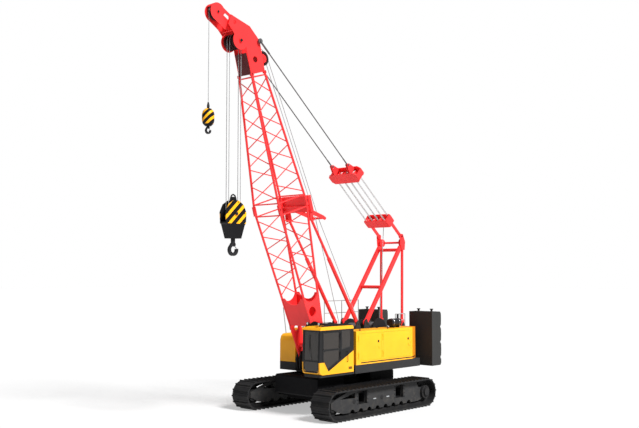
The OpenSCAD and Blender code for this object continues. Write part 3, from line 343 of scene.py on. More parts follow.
def gloss_paint(name, base, dust=0.1, rough=0.34, peel=0.02, gloss=0.22, coat=0.08):
    """Sprayed machine paint: faint orange peel, tone drift, streaks and dust."""
    finish = Finish(name)
    spot, parts = finish.place()
    pattern = base(finish, parts) if callable(base) else tuple(base)
    tinted, grime = weathered(finish, pattern, spot, parts[2], dust)
    fine = finish.noise(spot, 260.0, 2.0)
    scuff = finish.noise(spot, 14.0, 4.0)
    return finish.surface({
        "Base Color": tinted,
        "Roughness": rough + 0.10 * scuff + 0.35 * grime,
        "Specular IOR Level": gloss,
        "Coat Weight": coat,
        "Coat Roughness": 0.12,
        "Normal": finish.bump(fine, peel, 0.002)})


def steel(name, base, rough, metal, scale=9.0, dust=0.1, gloss=0.2):
    """Bare or dark steel with scuffs, rubbed patches and dry earth."""
    finish = Finish(name)
    spot, parts = finish.place()
    tinted, grime = weathered(finish, base, spot, parts[2], dust)
    scuff = finish.noise(spot, scale, 6.0, 0.7)
    rubbed = finish.ramp(scuff, 0.56, 0.74)
    return finish.surface({
        "Base Color": finish.blend(rubbed * 0.5, tinted, shade(base, 2.2)),
        "Metallic": metal + 0.25 * rubbed,
        "Roughness": rough - 0.14 * rubbed + 0.25 * grime,
        "Specular IOR Level": gloss,
        "Normal": finish.bump(scuff, 0.12, 0.004)})


def house_colours(paint):
    """Yellow, with painted shade at the rear corner, where it fades to a darker orange for the faces turned
    from the light, and a thin black line low on the outer side.
    """
    def pattern(finish, parts):
        x, _y, z = parts
        line = (abs(z - 1.92) < 0.022) * (x < 0.42) * (x > -3.36)
        # painted shade: towards the rear corner the yellow fades to a darker orange
        rear = 1.0 - finish.ramp(x, -3.15, -2.83)
        body = finish.blend(rear, tuple(paint.yellow), tuple(paint.shaded_amber))
        return finish.blend(line, body, tuple(paint.black))
    return pattern


def cab_colours(paint):
    """Yellow with a black window band whose lower edge rises to the rear."""
    def pattern(finish, parts):
        x, _y, z = parts
        rear_edge = 1.79 + (2.15 - x) * 0.49
        front_edge = (1.75 + (x - 2.28) * 1.5).smallest(2.08)
        band = (z > rear_edge.largest(front_edge)) * (z < 3.27)
        return finish.blend(band, tuple(paint.yellow), tuple(paint.black))
    return pattern


def striped(finish, paint, parts, steep, period):
    """Slanting yellow stripes on black."""
    x, y, z = parts
    slant = steep * (x - y) + z
    band = (slant % period) < period * paint.stripe_share
    return finish.blend(band, tuple(paint.black), tuple(paint.yellow))


def block_stripes(paint):
    """Stripes on the outside of the hook block, black below and between the cheeks, where the sheaves are
    dark steel and the cheeks' inner faces carry painted shade.
    """
    def pattern(finish, parts):
        _x, y, z = parts
        # black between the cheeks: the sheaves' own dark steel, and painted shade on the cheeks' inner faces
        outside = (abs(y) > BLOCK_CHEEK_Y) * (z > BLOCK_STRIPES_LOW)
        stripes = striped(finish, paint, parts, 0.95, paint.stripe_period)
        return finish.blend(outside, tuple(paint.black), stripes)
    return pattern


def ball_stripes(paint):
    """Closer stripes round the auxiliary weight, black at both ends."""
    def pattern(finish, parts):
        z = parts[2]
        middle = (z > BALL_STRIPES_LOW) * (z < BALL_STRIPES_HIGH)
        stripes = striped(finish, paint, parts, 0.7, paint.stripe_period * 0.7)
        return finish.blend(middle, tuple(paint.black), stripes)
    return pattern


def head_colours(paint):
    """Red cheeks, with painted shade on the plates between them: dark red where the inside of the head lies
    in shade.
    """
    def pattern(finish, parts):
        x, y, z = parts
        along = (x - FOOT.x) * math.cos(BOOM_ANGLE) + (z - FOOT.z) * math.sin(BOOM_ANGLE)
        rear = (z - FOOT.z) * math.cos(BOOM_ANGLE) - (x - FOOT.x) * math.sin(BOOM_ANGLE)
        # painted shade: the plates between the cheeks turn dark red
        between = (abs(y) < HEAD_INSIDE_Y) * (along < HEAD_INSIDE_TOP) * (rear < HEAD_INSIDE_REAR)
        return finish.blend(between, tuple(paint.red), tuple(paint.inside_shade))
    return pattern


def wire_rope(name, base, lay):
    """Twisted strands on the rope's own UV map, with painted shade in the valleys between strands and darker
    greased patches.
    """
    finish = Finish(name)
    uv = finish.node("ShaderNodeUVMap", {"uv_map": "rope"}, {})
    around, along, _depth = finish.parts(uv)
    strand = ((around * 6.0 + along * (6.0 / lay)) * math.tau).sine() * 0.5 + 0.5
    wire = ((around * 36.0 - along * (20.0 / lay)) * math.tau).sine() * 0.5 + 0.5
    spot, _parts = finish.place()
    grease = finish.ramp(finish.noise(spot, 6.0, 3.0), 0.4, 0.7)
    # painted shade: the valleys between strands are darker
    valley_shaded = finish.blend(strand, shade(base, 0.55), base)
    return finish.surface({
        "Base Color": finish.blend(grease * 0.3, valley_shaded, shade(base, 0.5)),
        "Metallic": 0.35,
        "Roughness": 0.45 + 0.2 * grease,
        "Normal": finish.bump(strand + wire * 0.25, 0.6, 0.004)})


def stay_cable(name, base, lay):
    """A laid stay cable: strands slant round and along it, with painted shade between them, and grease in
    patches that changes the roughness.
    """
    finish = Finish(name)
    spot, parts = finish.place()
    x, y, z = parts
    along = x * RIG_DIRECTION.x + z * RIG_DIRECTION.z
    across = z * RIG_DIRECTION.x - x * RIG_DIRECTION.z
    strand = ((along + 0.6 * across + 0.6 * y) * (math.tau * 6.0 / lay)).sine() * 0.5 + 0.5
    grease = finish.ramp(finish.noise(spot, 5.0, 3.0), 0.4, 0.7)
    return finish.surface({
        # painted shade: darker between the strands
        "Base Color": finish.blend(strand, shade(base, 0.5), base),
        "Metallic": 0.4,
        "Roughness": 0.42 + 0.2 * grease,
        "Normal": finish.bump(strand, 0.5, 0.003)})


def tinted_glass(name):
    """Dark cab glass with faint smears."""
    finish = Finish(name)
    spot, _parts = finish.place()
    smear = finish.noise(spot, 3.0, 4.0, 0.6)
    return finish.surface({
        "Base Color": finish.blend(smear, (0.040, 0.030, 0.023), (0.052, 0.040, 0.032)),
        "Roughness": 0.03 + 0.05 * smear,
        "Transmission Weight": 0.62,
        "IOR": 1.45,
        "Coat Weight": 0.15})


def rubber(name, base):
    """Moulded rubber and plastic with a fine grain."""
    finish = Finish(name)
    spot, _parts = finish.place()
    grain = finish.noise(spot, 420.0, 2.0)
    tone = finish.noise(spot, 4.0, 3.0)
    return finish.surface({
        "Base Color": finish.blend(tone, shade(base, 0.8), shade(base, 1.6)),
        "Roughness": 0.62 + 0.15 * tone,
        "Normal": finish.bump(grain, 0.25, 0.001)})


def seat_cloth(name, base):
    """Woven seat cloth with sewn channels across the cushion, with painted shade in the channels' creases.
    """
    finish = Finish(name)
    spot, parts = finish.place()
    x, y, _z = parts
    weave = (x * 2600.0).sine() * (y * 2600.0).sine() * 0.5 + 0.5
    channel = finish.ramp(abs(((y % 0.115) - 0.0575) * 17.4), 0.0, 0.22)
    fade = finish.noise(spot, 7.0, 3.0)
    worn = finish.blend(fade, shade(base, 0.8), shade(base, 1.5))
    return finish.surface({
        # painted shade: the cloth is darker in the channel grooves
        "Base Color": finish.blend(channel, shade(base, 0.4), worn),
        "Roughness": 0.82 + 0.1 * weave,
        "Sheen Weight": 0.25,
        "Normal": finish.bump(channel + 0.05 * weave, 0.5, 0.006)})


def lamp_glass(name, base):
    """A ribbed lamp lens, with painted shade in the grooves between the ribs."""
    finish = Finish(name)
    _spot, parts = finish.place()
    ribs = (parts[1] * 400.0).sine() * 0.5 + 0.5
    return finish.surface({
        # painted shade: darker in the grooves between ribs
        "Base Color": finish.blend(ribs, shade(base, 0.8), base),
        "Roughness": 0.12 + 0.1 * ribs,
        "Transmission Weight": 0.3,
        "Normal": finish.bump(ribs, 0.3, 0.002)})


def studio_floor(name):
    """Pale smooth floor that keeps its shadows soft."""
    finish = Finish(name)
    spot, _parts = finish.place()
    tone = finish.noise(spot, 0.15, 2.0)
    return finish.surface({
        "Base Color": finish.blend(tone, (0.37, 0.37, 0.37), (0.39, 0.39, 0.39)),
        "Roughness": 0.8 + 0.1 * tone,
        "Specular IOR Level": 0.1,
        "Emission Color": (1.0, 1.0, 1.0, 1.0),
        "Emission Strength": 0.42})


FINISHES = {}


# Mesh helpers


def add_piece(name, mesh, material, body=None, sharp=35):
    """Links a bmesh as a piece that rides on a body, shaded smooth up to an angle."""
    bmesh.ops.recalc_face_normals(mesh, faces=mesh.faces)
    data = bpy.data.meshes.new(name)
    mesh.to_mesh(data)
    mesh.free()
    data.shade_smooth()
    data.set_sharp_from_angle(angle=math.radians(sharp))
    data.materials.append(FINISHES[material])
    piece = bpy.data.objects.new(name, data)
    bpy.context.scene.collection.objects.link(piece)
    if body:
        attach(piece, body)
    return piece


def add_copy(mesh, shape):
    """Moves a finished shape into a mesh."""
    data = bpy.data.meshes.new("shape")
    shape.to_mesh(data)
    shape.free()
    mesh.from_mesh(data)
    bpy.data.meshes.remove(data)


def turn_to(direction):
    """A rotation that takes +Z to a direction."""
    return Vector((0, 0, 1)).rotation_difference(Vector(direction)).to_matrix().to_4x4()


def add_tube(mesh, start, end, radius, sides=12, far_radius=None):
    """A capped round bar between two points."""
    start, end = Vector(start), Vector(end)
    run = end - start
    far = radius if far_radius is None else far_radius
    made = bmesh.ops.create_cone(
        mesh, cap_ends=True, segments=sides, radius1=radius, radius2=far, depth=run.length)
    matrix = Matrix.Translation((start + end) / 2) @ turn_to(run)
    bmesh.ops.transform(mesh, matrix=matrix, verts=made["verts"])


def add_box(mesh, low, high, bevel=0.0, segments=2):
    """A box from corner to corner with rounded edges."""
    low, high = Vector(low), Vector(high)
    made = bmesh.ops.create_cube(mesh, size=1.0)
    scale = Matrix.Diagonal((*(high - low), 1.0))
    bmesh.ops.transform(mesh, matrix=Matrix.Translation((low + high) / 2) @ scale, verts=made["verts"])
    if bevel:
        edges = list({edge for vert in made["verts"] for edge in vert.link_edges})
        bmesh.ops.bevel(mesh, geom=edges, offset=bevel, offset_type="OFFSET", segments=segments,
                        profile=0.5, affect="EDGES", material=-1)


def add_spun(mesh, shape, place, axis, steps):
    """Spins a profile full circle about Z and sets it on an axis."""
    bmesh.ops.spin(shape, geom=list(shape.verts) + list(shape.edges), cent=(0, 0, 0), axis=(0, 0, 1),
                   angle=math.tau, steps=steps, use_merge=True, use_duplicate=False)
    bmesh.ops.remove_doubles(shape, verts=shape.verts, dist=1e-5)
    bmesh.ops.transform(shape, matrix=Matrix.Translation(Vector(place)) @ turn_to(axis), verts=shape.verts)
    add_copy(mesh, shape)


def add_turned(mesh, profile, place, axis, steps=20):
    """A shape turned about an axis from a profile of radius and height pairs."""
    shape = bmesh.new()
    verts = [shape.verts.new((radius, 0, height)) for radius, height in profile]
    for pair in zip(verts, verts[1:]):
        shape.edges.new(pair)
    add_spun(mesh, shape, place, axis, steps)


def rounded_face(outline, corner):
    """A new mesh with one face on an outline, its corners rounded."""
    shape = bmesh.new()
    verts = [shape.verts.new(point) for point in outline]
    shape.faces.new(verts)
    if corner:
        bmesh.ops.bevel(shape, geom=verts, offset=corner, offset_type="OFFSET", segments=4,
                        profile=0.5, affect="VERTICES", material=-1)
    return shape


def add_plate(mesh, outline, thickness, corner=0.0):
    """A flat plate on an outline, with rounded corners, solid to one side."""
    shape = rounded_face(outline, corner)
    bmesh.ops.solidify(shape, geom=list(shape.faces), thickness=thickness)
    add_copy(mesh, shape)


def add_seal(mesh, outline, width, thickness, corner):
    """A flat ring just inside an outline with rounded corners."""
    shape = rounded_face(outline, corner)
    face = next(iter(shape.faces))
    bmesh.ops.inset_region(shape, faces=[face], thickness=width, use_boundary=True, use_even_offset=True)
    bmesh.ops.delete(shape, geom=[face], context="FACES_ONLY")
    bmesh.ops.solidify(shape, geom=list(shape.faces), thickness=thickness)
    add_copy(mesh, shape)


def add_bolt(mesh, place, axis, radius, height):
    """A hexagon head on a washer."""
    place, axis = Vector(place), Vector(axis).normalized()
    add_tube(mesh, place, place + axis * height * 0.25, radius * 1.45, 10)
    add_tube(mesh, place + axis * height * 0.2, place + axis * height, radius, 6, radius * 0.94)


def add_pin_end(mesh, place, axis, radius):
    """The chamfered head of a pin with a keeper plate and two bolts."""
    place, axis = Vector(place), Vector(axis).normalized()
    profile = ((0.0, 0.0), (radius, 0.0), (radius, 0.018), (radius * 0.85, 0.026), (0.0, 0.026))
    add_turned(mesh, profile, place, axis)
    aside = axis.orthogonal().normalized()
    for side in (-1, 1):
        add_bolt(mesh, place + aside * side * radius * 0.5 + axis * 0.026, axis, radius * 0.16, 0.014)


def add_ring(mesh, centre, axis, radius, thickness, sides=8, steps=20):
    """A round ring."""
    shape = bmesh.new()
    made = bmesh.ops.create_circle(shape, cap_ends=False, segments=sides, radius=thickness)
    stand = Matrix.Translation((radius, 0, 0)) @ Matrix.Rotation(math.pi / 2, 4, "X")
    bmesh.ops.transform(shape, matrix=stand, verts=made["verts"])
    add_spun(mesh, shape, centre, axis, steps)


def stations(path):
    """The placing matrix of each point of a path, turned along it without twist."""
    steps = [(b - a).normalized() for a, b in zip(path, path[1:])]
    leads = [steps[0]] + [(a + b).normalized() for a, b in zip(steps, steps[1:])] + [steps[-1]]
    turn = Vector((0, 0, 1)).rotation_difference(leads[0])
    placed = []
    for index, point in enumerate(path):
        if index:
            turn = leads[index - 1].rotation_difference(leads[index]) @ turn
        placed.append(Matrix.Translation(point) @ turn.to_matrix().to_4x4())
    return placed


def add_rope(mesh, path, radius, sides):
    """A round bar along a path, with a UV map round and along it."""
    layer = mesh.loops.layers.uv.get("rope") or mesh.loops.layers.uv.new("rope")
    path = [Vector(point) for point in path]
    placed = stations(path)
    undone = [matrix.inverted() for matrix in placed]
    ring = bmesh.ops.create_circle(mesh, cap_ends=True, segments=sides, radius=radius)["verts"]
    bmesh.ops.transform(mesh, matrix=placed[0], verts=ring)
    edges = list({edge for vert in ring for edge in vert.link_edges})
    length = 0.0
    for step in range(1, len(path)):
        grown = bmesh.ops.extrude_edge_only(mesh, edges=edges)["geom"]
        fresh = {item for item in grown if isinstance(item, bmesh.types.BMVert)}
        bmesh.ops.transform(mesh, matrix=placed[step] @ undone[step - 1], verts=list(fresh))
        run = (path[step] - path[step - 1]).length
        for face in grown:
            if isinstance(face, bmesh.types.BMFace):
                lay_rope_uv(face, layer, fresh, undone[step - 1], undone[step], length, run)
        length += run
        edges = [item for item in grown
                 if isinstance(item, bmesh.types.BMEdge) and fresh.issuperset(item.verts)]
    bmesh.ops.edgeloop_fill(mesh, edges=edges)


def lay_rope_uv(face, layer, fresh, before, after, length, run):
    """Gives one side face its turn and length, with no jump at the seam."""
    home = None
    for loop in face.loops:
        late = loop.vert in fresh
        local = (after if late else before) @ loop.vert.co
        angle = math.atan2(local.y, local.x)
        if home is None:
            home = angle
        angle = home + (angle - home + math.pi) % math.tau - math.pi
        loop[layer].uv = (angle / math.tau, length + (run if late else 0.0))


def arc(centre, start, angle, steps=10):
    """Points of an arc about the crane's cross axis."""
    centre, start = Vector(centre), Vector(start)
    return [centre + Matrix.Rotation(angle * i / steps, 3, "Y") @ (start - centre) for i in range(steps + 1)]


def tangent(first, first_radius, second, second_radius):
    """Where a rope leaves one round and meets the next. A negative radius passes on its right."""
    run = Vector((second.x - first.x, 0, second.z - first.z))
    lean = math.asin((first_radius - second_radius) / run.length)
    normal = Matrix.Rotation(lean - math.pi / 2, 3, "Y") @ run.normalized()
    return first + first_radius * normal, second + second_radius * normal


def reeved(rounds, last=None):
    """The path of a rope over rounds of (centre, radius), and on round the last one to a direction."""
    spans = [tangent(*a, *b) for a, b in zip(rounds, rounds[1:])]
    path = [spans[0][0]]
    for (centre, radius), (_start, meets), (leaves, _end) in zip(rounds[1:], spans, spans[1:]):
        path += arc(centre, meets, turn_between(meets - centre, leaves - centre, radius), 6)
    if last is None:
        return path + [spans[-1][1]]
    centre, radius = rounds[-1]
    meets = spans[-1][1]
    return path + arc(centre, meets, turn_between(meets - centre, radius * Vector(last), radius), 10)


def turn_between(before, after, radius):
    """The angle about the cross axis from one spoke to another, the way the rope runs."""
    cross = before.z * after.x - before.x * after.z
    angle = math.atan2(cross, before.x * after.x + before.z * after.z)
    if abs(angle) < math.radians(20):
        return angle
    return angle % math.tau if radius > 0 else -(-angle % math.tau)


# Operators


class CRANE_OT_finishes(bpy.types.Operator):
    """Makes the materials and gives each solid its finish"""

    bl_idname = "crane.finishes"
    bl_label = "Paint the crane"

    def execute(self, context):
        paint = context.scene.crane_paint
        lay = context.scene.crane_ropes.lay
        paints = {
            "red paint": dict(base=paint.red),
            "head paint and shade": dict(base=head_colours(paint)),
            "yellow paint": dict(base=paint.yellow),
            "house paint and shade": dict(base=house_colours(paint)),
            "cab paint": dict(base=cab_colours(paint)),
            "black paint": dict(base=paint.black, gloss=0.15, coat=0.04),
            "frame paint": dict(base=paint.frame_grey, dust=0.15, rough=0.45, gloss=0.12, coat=0.0),
            "carbody paint": dict(base=paint.black, dust=0.05, rough=0.5, gloss=0.05, coat=0.0),
            "weight paint": dict(
                base=paint.weight_grey, dust=0.05, rough=0.5, peel=0.25, gloss=0.12, coat=0.0),
            "rail paint": dict(base=paint.rail_grey),
            "block paint and shade": dict(base=block_stripes(paint), dust=0.03, gloss=0.12, coat=0.0),
            "ball paint": dict(base=ball_stripes(paint), dust=0.03, gloss=0.12, coat=0.0),
        }
        steels = {
            "track steel": dict(
                base=(0.016, 0.016, 0.017), rough=0.6, metal=0.05, scale=7.0, dust=0.08, gloss=0.15),
            "dark steel": dict(base=(0.016, 0.016, 0.018), rough=0.5, metal=0.1, scale=11.0),
            "sheave maroon": dict(base=(0.030, 0.006, 0.007), rough=0.5, metal=0.1, scale=11.0),
            "engine grey": dict(base=(0.06, 0.064, 0.068), rough=0.5, metal=0.2, scale=14.0),
            "bright steel": dict(
                base=(0.45, 0.45, 0.46), rough=0.3, metal=0.9, scale=30.0, dust=0.05, gloss=0.5),
        }
        ropes = {
            "wire rope": (0.40, 0.40, 0.41),
            "luffing rope": (0.70, 0.70, 0.71),
            # the rope wound on the drums is a darker copy of the wire rope: painted shade among the winches
            "shaded drum rope": (0.10, 0.10, 0.105),
        }
        for name, settings in paints.items():
            FINISHES[name] = gloss_paint(name, **settings)
        for name, settings in steels.items():
            FINISHES[name] = steel(name, **settings)
        for name, base in ropes.items():
            FINISHES[name] = wire_rope(name, base, lay)
        FINISHES["stay cable"] = stay_cable("stay cable", (0.14, 0.14, 0.145), lay * 1.6)
        FINISHES["cab glass"] = tinted_glass("cab glass")
        FINISHES["rubber"] = rubber("rubber", (0.009, 0.009, 0.010))
        FINISHES["console plastic"] = rubber("console plastic", (0.020, 0.020, 0.022))
        FINISHES["seat cloth"] = seat_cloth("seat cloth", (0.025, 0.025, 0.028))
        FINISHES["clear lamp"] = lamp_glass("clear lamp", (0.85, 0.85, 0.82))
        FINISHES["floor"] = studio_floor("floor")
        worn = {
            "red paint": ["boom_base", "boom_top", "boom_crossbeam", "gantry_front_legs", "gantry_rear_legs",
                          "lower_spreader", "upper_spreader", "backstop_tubes", "backstop_rods"],
            "head paint and shade": ["boom_head"],
            "house paint and shade": ["left_house", "right_house", "service_door_front", "service_door_rear"],
            "yellow paint": ["right_front_box"],
            "cab paint": ["cab_shell", "cab_door"],
            "black paint": ["cab_roof_guard"],
            "frame paint": ["crawler_frame_left", "crawler_frame_right", "turntable_frame", "deck_left",
                            "deck_right"],
            "carbody paint": ["carbody", "slewing_ring"],
            "weight paint": ["counterweight_left", "counterweight_right", "counterweight_tray"],
            "rail paint": ["handrails"],
            "block paint and shade": ["main_hook_block"],
            "ball paint": ["aux_weight"],
            "track steel": ["track_left", "track_right", "idlers", "drive_sprockets", "track_rollers"],
            "dark steel": ["winch_drums", "main_hook", "aux_hook", "exhaust"],
            "sheave maroon": ["head_sheaves"],
            "engine grey": ["engine_block"],
            "stay cable": ["pendants"],
            "wire rope": ["main_fall_ropes", "aux_fall_rope", "luffing_ropes"],
            "cab glass": ["cab_glass", "cab_door_glass"],
            "seat cloth": ["operator_seat"],
        }
        for material, nodes in worn.items():
            for node in nodes:
                NODES[node].data.materials.clear()
                NODES[node].data.materials.append(FINISHES[material])
        return {"FINISHED"}


class CRANE_OT_edges(bpy.types.Operator):
    """Rounds the edges of the boxy solids with modifiers"""

    bl_idname = "crane.edges"
    bl_label = "Round the edges"

    def execute(self, context):
        width = context.scene.crane_paint.edge_round
        for node in ("counterweight_left", "counterweight_right", "counterweight_tray", "right_front_box",
                     "left_house", "right_house", "deck_left", "deck_right", "carbody"):
            weld = NODES[node].modifiers.new("weld", "WELD")
            weld.merge_threshold = 0.0001
            bevel = NODES[node].modifiers.new("rolled edges", "BEVEL")
            bevel.width = width
            bevel.segments = 2
            bevel.limit_method = "ANGLE"
            bevel.angle_limit = math.radians(40)
        return {"FINISHED"}


class CRANE_OT_ropes(bpy.types.Operator):
    """Lays the falls and the luffing ropes, with their turns round the sheaves"""

    bl_idname = "crane.ropes"
    bl_label = "Lay the ropes"

    def execute(self, context):
        settings = context.scene.crane_ropes
        radius, sides = settings.radius, settings.sides
        low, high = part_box("main_fall_ropes")
        xs = (low.x + radius, high.x - radius)
        ys = (low.y + radius, high.y - radius)
        mesh = bmesh.new()
        for x in xs:
            for y in ys:
                add_rope(mesh, [(x, y, high.z), (x, y, low.z)], radius, sides)
        piece = add_piece("main_falls", mesh, "wire rope")
        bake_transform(piece)
        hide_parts("main_fall_ropes")

        mesh = bmesh.new()
        for y in ys:
            add_rope(mesh, arc(beside(MAIN_SHEAVE, y), (xs[0], y, high.z), math.pi), radius, sides)
        add_piece("main_head_turns", mesh, "wire rope", "main_fall")
        mesh = bmesh.new()
        for y in ys:
            add_rope(mesh, arc((MAIN_SHEAVE.x, y, low.z), (xs[1], y, low.z), math.pi), radius, sides)
        add_piece("main_block_turns", mesh, "wire rope", "main_block")

        low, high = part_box("aux_fall_rope")
        x = (low.x + high.x) / 2
        mesh = bmesh.new()
        add_rope(mesh, [(x, 0, high.z), (x, 0, low.z)], radius, sides)
        piece = add_piece("aux_fall", mesh, "wire rope")
        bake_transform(piece)
        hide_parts("aux_fall_rope")

        mesh = bmesh.new()
        for y in LUFFING_YS:
            for k in (-1, 1):
                above = k * LUFFING_SEAT
                run = [on_rig(LOWER_SPREADER, y, above), on_rig(UPPER_SPREADER, y, above)]
                add_rope(mesh, run, radius, sides)
        piece = add_piece("luffing_falls", mesh, "luffing rope")
        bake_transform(piece)
        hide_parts("luffing_ropes")
        for name, body, along, way in (("luffing_low_turns", "bail", LOWER_SPREADER, -math.pi),
                                       ("luffing_high_turns", "bridle", UPPER_SPREADER, math.pi)):
            mesh = bmesh.new()
            for y in LUFFING_YS:
                add_rope(mesh, arc(on_rig(along, y, 0), on_rig(along, y, LUFFING_SEAT), way), radius, 8)
            add_piece(name, mesh, "luffing rope", body)
        return {"FINISHED"}


class CRANE_OT_hoists(bpy.types.Operator):
    """Winds the drums and leads the hoist ropes up the boom to the head"""

    bl_idname = "crane.hoists"
    bl_label = "Lead the hoist ropes"

    def execute(self, context):
        settings = context.scene.crane_ropes
        radius, sides = settings.radius, settings.sides
        mesh = bmesh.new()
        turns, steps, half = 25, 24, 0.318
        for x, z, drum in WINCHES.values():
            reach = drum + radius
            path = []
            for i in range(turns * steps + 1):
                angle = math.tau * i / steps
                across = half * (2 * i / (turns * steps) - 1)
                path.append((x + reach * math.cos(angle), across, z + reach * math.sin(angle)))
            add_rope(mesh, path, radius, 8)
        # the drum wraps take the darker rope, which is painted shade
        add_piece("drum_ropes", mesh, "shaded drum rope", "upperworks")

        roller = -(ROLLER_RADIUS + radius)
        wing, wing_rear = WING_ROLLER
        leads = (
            ("main", SIDE_LEAD_Y, "boom", (on_boom(wing, SIDE_LEAD_Y, wing_rear), roller)),
            ("aux", 0.0, "boom", (on_boom(wing, 0.0, wing_rear), roller)),
            ("luffing", LUFFING_LEAD_Y, "bail", (on_rig(LOWER_SPREADER, LUFFING_LEAD_Y, 0), LUFFING_SEAT)))
        for name, y, body, far in leads:
            x, z, drum = WINCHES[name]
            path = reeved([(Vector((x, y, z)), drum + radius), far])
            mesh = bmesh.new()
            add_rope(mesh, path, radius, sides)
            piece = add_piece(f"{name}_lead", mesh, "wire rope")
            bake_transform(piece)

        along, rear = GUIDE_SHEAVE
        mesh = bmesh.new()
        main_run = reeved([
            (on_boom(wing, SIDE_LEAD_Y, wing_rear), roller),
            (on_boom(along, SIDE_LEAD_Y, rear), GUIDE_SEAT),
            (beside(MAIN_SHEAVE, MAIN_FALL_Y), MAIN_SEAT)])
        add_rope(mesh, main_run, radius, sides)
        aux_run = reeved([
            (on_boom(wing, 0, wing_rear), roller),
            (on_boom(along, 0, rear), GUIDE_SEAT),
            (on_boom(HEAD_ROD[0], 0, HEAD_ROD[1]), ROLLER_RADIUS + radius),
            (TIP_SHEAVE, TIP_SEAT)], (1, 0, 0))
        add_rope(mesh, aux_run, radius, sides)
        add_piece("hoist_runs", mesh, "wire rope", "boom")

        # side sheave that carries the main rope past the guide's bracket
        rim = 0.28
        profile = ((0.03, -0.030), (0.07, -0.030), (0.07, -0.012), (rim - 0.05, -0.012), (rim, -0.034),
                   (rim, -0.028), (rim - 0.024, 0.0), (rim, 0.028), (rim, 0.034), (rim - 0.05, 0.012),
                   (0.07, 0.012), (0.07, 0.030), (0.03, 0.030), (0.03, -0.030))
        mesh = bmesh.new()
        add_turned(mesh, profile, on_boom(along, SIDE_LEAD_Y, rear), (0, 1, 0), 40)
        add_piece("side_guide_sheave", mesh, "sheave maroon", "boom")
        mesh = bmesh.new()
        outer = -0.215
        plate = [on_boom(along + s, outer, rear + n) for s, n in
                 ((-0.20, -0.38), (-0.08, 0.02), (0.0, 0.06), (0.08, 0.02), (0.20, -0.38))]
        add_plate(mesh, plate, 0.02, 0.02)
        add_tube(mesh, on_boom(along, -0.12, rear), on_boom(along, outer - 0.03, rear), 0.03, 16)
        add_piece("side_guide_bracket", mesh, "red paint", "boom")
        return {"FINISHED"}


class CRANE_OT_undercarriage(bpy.types.Operator):
    """Bolts up the slewing ring, axle boxes and final drives, and fits the frame covers"""

    bl_idname = "crane.undercarriage"
    bl_label = "Fit the undercarriage"

    def execute(self, context):
        mesh = bmesh.new()
        low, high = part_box("slewing_ring")
        radius = (high.x - low.x) / 2
        count = 48
        for i in range(count):
            angle = math.tau * i / count
            out = Vector((math.cos(angle), math.sin(angle), 0))
            add_bolt(mesh, radius * out + Vector((0, 0, (low.z + high.z) / 2)), out, 0.017, 0.02)
        add_piece("ring_bolts", mesh, "dark steel", "undercarriage", 30)

        bolts, covers, slots = bmesh.new(), bmesh.new(), bmesh.new()
        cover = ((0.0, 0.0), (0.085, 0.0), (0.085, 0.008), (0.075, 0.014), (0.0, 0.016))
        hub_radius, hub_y, hub_bolts = 0.205, 2.48, 12
        for side in (-1, 1):
            out = (0, side, 0)
            face = side * (TRACK_Y + TRACK_FACE)
            for x in (-AXLE_X, AXLE_X):
                for dx in (-0.30, 0.30):
                    for z in (0.52, 0.66, 0.80, 0.94):
                        add_bolt(bolts, (x + dx, face, z), out, 0.018, 0.022)
            for i in range(hub_bolts):
                angle = math.tau * i / hub_bolts
                x = -WHEEL_X + hub_radius * math.cos(angle)
                z = WHEEL_Z + hub_radius * math.sin(angle)
                add_bolt(bolts, (x, side * hub_y, z), out, 0.017, 0.022)
            for x in (-0.02, 1.62):
                add_turned(covers, cover, (x, face, 0.63), out, 24)
            for x in (-0.46, 0.34):
                low_y, high_y = sorted((face - side * 0.004, face + side * 0.012))
                add_box(slots, (x, low_y, 0.60), (x + 0.16, high_y, 0.64), 0.004)
        add_piece("frame_bolts", bolts, "dark steel", "undercarriage", 30)
        add_piece("frame_covers", covers, "track steel", "undercarriage")
        add_piece("frame_slots", slots, "rail paint", "undercarriage")
        return {"FINISHED"}


